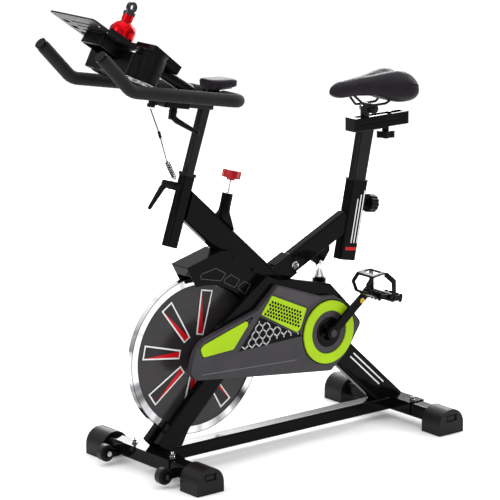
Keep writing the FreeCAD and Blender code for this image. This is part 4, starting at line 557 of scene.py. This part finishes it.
def add_grip(side, materials):
    """Foam sleeve along one side of the bent bar, rounded over at both ends."""
    y = side * BAR_Y
    corners = [Vector((GRIP_REAR[0], side * GRIP_START_Y, GRIP_REAR[1])),
               Vector((GRIP_REAR[0], y, GRIP_REAR[1])), Vector((GRIP_ELBOW[0], y, GRIP_ELBOW[1])),
               Vector((GRIP_TIP[0], y, GRIP_TIP[1]))]
    points = rounded_path(corners, (REAR_BEND, ELBOW_BEND), GRIP_SPACING)
    radii = [GRIP_R + GRIP_WAVE * math.sin(1.9 * i) for i in range(len(points))]
    radii[0], radii[1] = GRIP_R - GRIP_END_CUT, GRIP_R - GRIP_EDGE_CUT
    radii[-1], radii[-2] = GRIP_R - GRIP_END_CUT, GRIP_R - GRIP_EDGE_CUT
    grip = tube_mesh("foam_sleeve_%s" % ("right" if side > 0 else "left"), points, radii, 40,
                     materials["foam"])
    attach(grip, "handlebar_carriage")
    return grip


def add_grips(materials):
    for side in (-1, 1):
        grip = add_grip(side, materials)
        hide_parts("foam_grips")


COIL_TOP, COIL_LOW = Vector((-0.272, 0.0, 0.876)), Vector((-0.2435, 0.0, 0.819))
COIL_R, COIL_WIRE, COIL_TURNS, COIL_TURN_STEPS = 0.0062, 0.0014, 11, 20


def add_coil(materials):
    """The coiled stretch of the sensor cord: even turns that narrow at both ends.

    It runs between the post and the frame."""
    axis = (COIL_LOW - COIL_TOP).normalized()
    side = Vector((0, 1, 0))
    up = axis.cross(side)
    length = (COIL_LOW - COIL_TOP).length
    points = []
    steps = COIL_TURNS * COIL_TURN_STEPS
    for i in range(steps + 1):
        t = i / steps
        angle = 2 * math.pi * COIL_TURNS * t
        radius = COIL_R * min(1.0, 12 * t, 5 * (1 - t))
        spoke = side * math.cos(angle) + up * math.sin(angle)
        points.append(COIL_TOP + axis * (length * t) + spoke * radius)
    coil = tube_mesh("cord_coil_wire", points, [COIL_WIRE] * len(points), 10, materials["cord"])
    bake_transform(coil)
    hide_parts("cord_coil")


# ---------------------------------------------------------------- printed and small pieces

def film(name, rings, thickness, material):
    """One object of thin flat pieces, each a ring of corners thickened along its own normal."""
    vertices, faces = [], []
    for corners in rings:
        normal = sum((a.cross(b) for a, b in zip(corners, corners[1:] + corners[:1])), Vector((0, 0, 0)))
        normal.normalize()
        first, count = len(vertices), len(corners)
        vertices += corners + [corner + normal * thickness for corner in corners]
        faces.append(tuple(first + i for i in reversed(range(count))))
        faces.append(tuple(first + count + i for i in range(count)))
        for i in range(count):
            j = (i + 1) % count
            faces.append((first + i, first + j, first + count + j, first + count + i))
    return mesh_object(name, vertices, faces, material, False)


def facing(points, y, side):
    """XZ corners put on a plane at y, ordered to face the given side."""
    corners = [Vector((x, y, z)) for x, z in points]
    turned = sum(a.x * b.z - b.x * a.z for a, b in zip(corners, corners[1:] + corners[:1]))
    faces_near = turned > 0
    return corners if faces_near == (side < 0) else corners[::-1]


def band(start, end, half, y, side):
    """Ring of corners of a straight stripe between two XZ points."""
    (x0, z0), (x1, z1) = start, end
    run = Vector((x1 - x0, z1 - z0)).normalized() * half
    outline = [(x0 - run.y, z0 + run.x), (x0 + run.y, z0 - run.x), (x1 + run.y, z1 - run.x),
               (x1 - run.y, z1 + run.x)]
    return facing(outline, y, side)


def strokes(outline, half, y, side):
    """Stripes along every edge of a closed outline."""
    return [band(a, b, half, y, side) for a, b in zip(outline, outline[1:] + outline[:1])]


def annulus(name, centre, inner, outer, y, thickness, material, count=72):
    """Flat ring about a Y axis, facing -Y."""
    vertices, faces = [], []
    for k in range(count):
        angle = 2 * math.pi * k / count
        for radius, depth in ((inner, 0), (outer, 0), (outer, thickness), (inner, thickness)):
            vertices.append(Vector((centre.x + radius * math.cos(angle), y - depth,
                                    centre.z + radius * math.sin(angle))))
    for k in range(count):
        a, b = 4 * k, 4 * ((k + 1) % count)
        for i in range(4):
            j = (i + 1) % 4
            faces.append((a + i, b + i, b + j, a + j))
    return mesh_object(name, vertices, faces, material, False)


FILM = 0.0004
DECAL_IN, DECAL_OUT = 0.058, 0.187
DECAL_HALF_IN, DECAL_HALF_OUT = 0.013, 0.021
DECAL_BORDER = 0.0046
DECAL_START, DECAL_COUNT = 168.0, 8
# Widths of the painted shade lines along the near rim's edges.
RIM_SHADE_LINE_INNER, RIM_SHADE_LINE_OUTER = 0.0022, 0.0016
WHEEL_FACE = 0.0095
RIM_IN, RIM_OUT = 0.2012, 0.2248


def spoke_outline(angle, inset):
    """Corners of one printed spoke, shrunk by a border, as XZ about the wheel."""
    out = Vector((math.cos(angle), math.sin(angle)))
    across = Vector((-out.y, out.x))
    inner, outer = DECAL_IN + inset, DECAL_OUT - inset
    half_in, half_out = DECAL_HALF_IN - inset, DECAL_HALF_OUT - inset
    corners = [out * inner - across * half_in, out * outer - across * half_out,
               out * outer + across * half_out, out * inner + across * half_in]
    return [(WHEEL.x + c.x, WHEEL.z + c.y) for c in corners]


def spoke_wedge(angle, inset):
    """Red part of a printed spoke: full width at the hub, a point at one outer corner."""
    return [spoke_outline(angle, inset)[i] for i in (0, 2, 3)]


def add_wheel_film(materials):
    """Printed spokes on both faces of the wheel: white border, dark field, red wedge.

    The near rim also has a thin line of painted shade along both its edges."""
    angles = [math.radians(DECAL_START - 360.0 / DECAL_COUNT * k) for k in range(DECAL_COUNT)]
    for side, tag in ((-1, "near"), (1, "far")):
        face = side * WHEEL_FACE
        layers = (("border", spoke_outline, 0.0, "film_white", 0.0),
                  ("field", spoke_outline, DECAL_BORDER, "film_dark", FILM),
                  ("wedge", spoke_wedge, DECAL_BORDER, "film_red", 2 * FILM))
        for part, shape, inset, look, lift in layers:
            rings = [facing(shape(angle, inset), face + side * lift, side) for angle in angles]
            piece = film("spoke_%s_%s" % (part, tag), rings, FILM, materials[look])
            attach(piece, "flywheel")
    # Painted shade: thin dark rings along the near rim's inner and outer edges.
    for part, inner, outer in (("inner", RIM_IN, RIM_IN + RIM_SHADE_LINE_INNER),
                               ("outer", RIM_OUT - RIM_SHADE_LINE_OUTER, RIM_OUT)):
        line = annulus("rim_painted_shade_" + part, WHEEL, inner, outer, -WHEEL_FACE, FILM, materials["film_dark"])
        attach(line, "flywheel")


LATTICE = [(-0.010, 0.409), (0.118, 0.338), (0.131, 0.345), (0.140, 0.327), (-0.086, 0.321)]
CREST = [(0.037, 0.468), (0.056, 0.485), (0.212, 0.428), (0.164, 0.409)]


def inside(point, outline):
    """Whether an XZ point lies in a closed outline."""
    x, z = point
    hit = False
    for (x0, z0), (x1, z1) in zip(outline, outline[1:] + outline[:1]):
        if (z0 > z) != (z1 > z) and x < x0 + (z - z0) * (x1 - x0) / (z1 - z0):
            hit = not hit
    return hit


LATTICE_X, LATTICE_Z, LATTICE_BAR = 0.0255, 0.0185, 0.0019
LATTICE_START, LATTICE_ROWS, LATTICE_COLUMNS = (-0.09, 0.3165), 6, 12


def chevron(x, z):
    """Stem and two arms of one chevron, as pairs of XZ ends with a gap between them."""
    fork = (x, z + LATTICE_Z * 0.42)
    high = z + LATTICE_Z * 0.9
    return [((x, z), (x, z + LATTICE_Z * 0.38)), (fork, (x - LATTICE_X * 0.42, high)),
            (fork, (x + LATTICE_X * 0.42, high))]


def add_lattice(materials):
    """Rows of open silver chevrons on a black ground, printed on the cover's face."""
    dark = film("lattice_ground", [facing(LATTICE, COVER_FACE_Y, -1)], FILM, materials["shell_black"])
    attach(dark, "frame")
    rings = []
    for row in range(LATTICE_ROWS):
        for column in range(LATTICE_COLUMNS):
            x = LATTICE_START[0] + column * LATTICE_X + (row % 2) * LATTICE_X / 2
            z = LATTICE_START[1] + row * LATTICE_Z
            for ends in chevron(x, z):
                if all(inside(end, LATTICE) for end in ends):
                    rings.append(band(*ends, LATTICE_BAR, COVER_FACE_Y - FILM, -1))
    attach(film("cover_lattice", rings, FILM, materials["film_silver"]), "frame")


HOLE_R, HOLE_STEP, HOLE_ROW, HOLE_CORNERS = 0.0040, 0.0110, 0.0096, 12
GRILLE_FALL, GRILLE_RUN = -0.057, 0.125
GRILLE_FACE_Y, GRILLE_MID = -0.0801, (0.076, 0.404)
GRILLE = [(-0.001, 0.414), (0.034, 0.457), (0.151, 0.404), (0.130, 0.353), (0.121, 0.348)]


def ring_corners(x, z, radius, count):
    """XZ corners evenly round a point."""
    angles = [2 * math.pi * k / count for k in range(count)]
    return [(x + radius * math.cos(angle), z + radius * math.sin(angle)) for angle in angles]


def add_grille_hole_shade(materials):
    """Painted shade for the grille's staggered holes, which are not cut: thin black discs over them on the
    panel's face.
    """
    slope = math.atan2(GRILLE_FALL, GRILLE_RUN)
    across = Vector((math.cos(slope), math.sin(slope)))
    up = Vector((-math.sin(slope), math.cos(slope)))
    discs = []
    for row in range(-8, 9):
        for column in range(-14, 15):
            shift = (row % 2) * HOLE_STEP / 2
            along, rise = column * HOLE_STEP + shift, row * HOLE_ROW
            centre = Vector(GRILLE_MID) + across * along + up * rise
            corners = ring_corners(centre.x, centre.y, HOLE_R, HOLE_CORNERS)
            if all(inside(corner, GRILLE) for corner in corners):
                discs.append(facing(corners, GRILLE_FACE_Y, -1))
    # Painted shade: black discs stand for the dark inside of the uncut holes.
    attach(film("grille_hole_shade", discs, FILM / 2, materials["shell_black"]), "frame")


def add_crest(materials):
    """Grey patch on the cover's upper edge."""
    rings = [facing(CREST, COVER_FACE_Y, -1)]
    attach(film("cover_crest", rings, FILM, materials["film_grey"]), "frame")


SEAT_TUBE_FACE, BEAM_FACE, FENDER_FACE, CRANK_FACE = 0.018, 0.020, 0.036, 0.101
SEAT_STRIPES = [((0.374, 0.552), (0.4005, 0.679)), ((0.3845, 0.5505), (0.4135, 0.6895)),
                ((0.395, 0.549), (0.4265, 0.700))]
SEAT_BAR = ((0.3535, 0.539), (0.3935, 0.532))
SEAT_STRIPE_HALF, SEAT_BAR_HALF, LEG_STRIPE_HALF = 0.0019, 0.0048, 0.0021
FENDER_LINE_HALF, FENDER_LINE_RISE = 0.0011, 0.0008
LEG_STRIPES = [((0.372, 0.214), (0.484, 0.110)), ((0.384, 0.222), (0.500, 0.1145))]
FENDER_PANELS = [[(-0.182, 0.5515), (-0.133, 0.560), (-0.098, 0.540), (-0.116, 0.5215),
                  (-0.184, 0.5375), (-0.187, 0.5465)],
                 [(-0.104, 0.5225), (-0.0805, 0.534), (-0.049, 0.514), (-0.0675, 0.4945),
                  (-0.104, 0.515)],
                 [(-0.053, 0.4965), (-0.0325, 0.507), (-0.011, 0.4945), (-0.030, 0.4695),
                  (-0.054, 0.489)]]


def add_stripes(materials):
    """Plain stripes on the seat tube and the rear leg, on both sides of the bike."""
    for side, tag in ((-1, "near"), (1, "far")):
        y = side * SEAT_TUBE_FACE
        stripes = [band(start, end, SEAT_STRIPE_HALF, y, side) for start, end in SEAT_STRIPES]
        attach(film("seat_stripes_" + tag, stripes, FILM, materials["film_white"]), "frame")
        block = [band(*SEAT_BAR, SEAT_BAR_HALF, y, side)]
        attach(film("seat_block_" + tag, block, FILM, materials["film_red"]), "frame")
        face = side * BEAM_FACE
        stripes = [band(start, end, LEG_STRIPE_HALF, face, side) for start, end in LEG_STRIPES]
        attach(film("leg_stripes_" + tag, stripes, FILM, materials["film_white"]), "frame")


def add_fender_panels(materials):
    """Fine raised outlines on both cheeks of the fender."""
    for side, tag in ((-1, "near"), (1, "far")):
        rings = []
        for outline in FENDER_PANELS:
            rings += strokes(outline, FENDER_LINE_HALF, side * FENDER_FACE, side)
        lines = film("fender_outlines_" + tag, rings, FENDER_LINE_RISE, materials["raised_line"])
        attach(lines, "frame")


PANEL = [(-0.222, 0.352), (-0.208, 0.362), (-0.036, 0.412), (-0.106, 0.331), (-0.212, 0.326)]
CREASE_HIGHLIGHT = ((-0.216, 0.2765), (0.122, 0.2605))
HUB_IN, HUB_OUT, RIM_LINE_IN, RIM_LINE_OUT = 0.0245, 0.044, 0.0925, 0.0955
HUB_FACE_Y = -0.080
SEAM_HALF, CREASE_HIGHLIGHT_HALF = 0.0016, 0.0011


def add_cover_lines(materials):
    """Dark seams round the green panel and ring, the hub's dark centre, and a painted highlight along the
    lower crease.
    """
    black = materials["shell_black"]
    edge = film("panel_seam", strokes(PANEL, SEAM_HALF, COVER_FACE_Y, -1), FILM, black)
    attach(edge, "frame")
    # Painted highlight: a dim silver line where light would catch the lower crease.
    crease = film("cover_crease_highlight", [band(*CREASE_HIGHLIGHT, CREASE_HIGHLIGHT_HALF, COVER_FACE_Y, -1)], FILM,
                  materials["film_silver_dim"])
    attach(crease, "frame")
    seam = annulus("ring_seam", CRANK, RIM_LINE_IN, RIM_LINE_OUT, COVER_FACE_Y, FILM, black)
    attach(seam, "frame")
    hub = annulus("hub_centre", CRANK, HUB_IN, HUB_OUT, HUB_FACE_Y, FILM, black)
    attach(hub, "frame")


STICKER = (0.3475, 0.4015)
STICKER_R, STICKER_CORNERS = 0.008, 32


def add_sticker(materials):
    """Round warning sticker on the near crank arm."""
    ring = ring_corners(*STICKER, STICKER_R, STICKER_CORNERS)
    disc = film("crank_sticker", [facing(ring, -CRANK_FACE, -1)], FILM, materials["film_yellow"])
    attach(disc, "crank")


# ---------------------------------------------------------------- stage

def aim(obj, azimuth, elevation, distance, target):
    """Put an object on a sphere round the target, looking at it. Azimuth 0 is the -Y side."""
    a, e = math.radians(azimuth), math.radians(elevation)
    away = Vector((math.sin(a) * math.cos(e), -math.cos(a) * math.cos(e), math.sin(e)))
    obj.location = target + away * distance
    obj.rotation_euler = (-away).to_track_quat("-Z", "Y").to_euler()


def add_camera():
    """Long-lens camera at the bike's front left."""
    data = bpy.data.cameras.new("photo_camera")
    data.lens = CAMERA_LENS
    data.sensor_width = SENSOR
    data.clip_end = 100.0
    camera = bpy.data.objects.new("photo_camera", data)
    bpy.context.scene.collection.objects.link(camera)
    aim(camera, CAMERA_AZIMUTH, CAMERA_ELEVATION, CAMERA_DISTANCE, CAMERA_TARGET)
    camera.rotation_euler.rotate_axis("Z", math.radians(CAMERA_ROLL))
    bpy.context.scene.camera = camera


LIGHT_TARGET = Vector((0.0, 0.0, 0.6))


def add_light(name, azimuth, elevation, distance, size, power):
    """Rectangular soft light aimed at the middle of the bike."""
    data = bpy.data.lights.new(name, "AREA")
    data.shape = "RECTANGLE"
    data.size, data.size_y = size
    data.energy = power
    light = bpy.data.objects.new(name, data)
    bpy.context.scene.collection.objects.link(light)
    aim(light, azimuth, elevation, distance, LIGHT_TARGET)


DOME_STRENGTH = 1.3
FLOOR_HALF, FLOOR_DROP = 12.0, 0.0005


def add_world():
    """Studio dome that goes from grey at the horizon to white overhead."""
    world = bpy.data.worlds.new("studio")
    bpy.context.scene.world = world
    world.use_nodes = True
    tree = world.node_tree
    coords = tree.nodes.new("ShaderNodeTexCoord")
    parts = tree.nodes.new("ShaderNodeSeparateXYZ")
    tree.links.new(coords.outputs["Generated"], parts.inputs["Vector"])
    height = ramp(tree, parts.outputs["Z"], [(0.0, (0.25, 0.25, 0.26)), (0.35, (0.5, 0.5, 0.5)),
                                             (0.6, (1.0, 1.0, 1.0))])
    background = tree.nodes["Background"]
    tree.links.new(height, background.inputs["Color"])
    background.inputs["Strength"].default_value = DOME_STRENGTH


def add_floor():
    """Square white floor, a hair under the feet."""
    material, tree, shader = new_material("floor_white")
    tint = noise(tree, object_coords(tree), 1.5)
    tree.links.new(ramp(tree, tint, [(0.3, (0.93, 0.93, 0.93)), (0.7, (0.95, 0.95, 0.95))]),
                   shader.inputs["Base Color"])
    shader.inputs["Roughness"].default_value = 0.9
    signs = ((-1, -1), (1, -1), (1, 1), (-1, 1))
    corners = [Vector((x * FLOOR_HALF, y * FLOOR_HALF, 0)) for x, y in signs]
    floor = mesh_object("studio_floor", corners, [(0, 1, 2, 3)], material)
    floor.location.z = -FLOOR_DROP


def add_stage():
    add_camera()
    add_world()
    add_floor()
    add_light("key_left", -100, 28, 3.6, (0.4, 2.4), 45)
    add_light("fill_front", -10, 30, 4.0, (2.2, 2.2), 10)
    add_light("top_soft", 0, 88, 3.2, (2.0, 2.0), 16)
    add_light("back_panel", 142, 16, 4.2, (3.2, 0.9), 110)
    add_light("back_right", 95, 24, 3.8, (0.5, 2.2), 60)


def main():
    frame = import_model()
    bpy.context.scene.view_settings.view_transform = "Standard"
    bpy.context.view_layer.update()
    materials = make_materials()
    dress_frame(frame, materials)
    add_saddle(materials)
    add_arm_pad(materials)
    add_grips(materials)
    add_coil(materials)
    add_wheel_film(materials)
    add_lattice(materials)
    add_grille_hole_shade(materials)
    add_crest(materials)
    add_cover_lines(materials)
    add_stripes(materials)
    add_fender_panels(materials)
    add_sticker(materials)
    add_stage()


main()
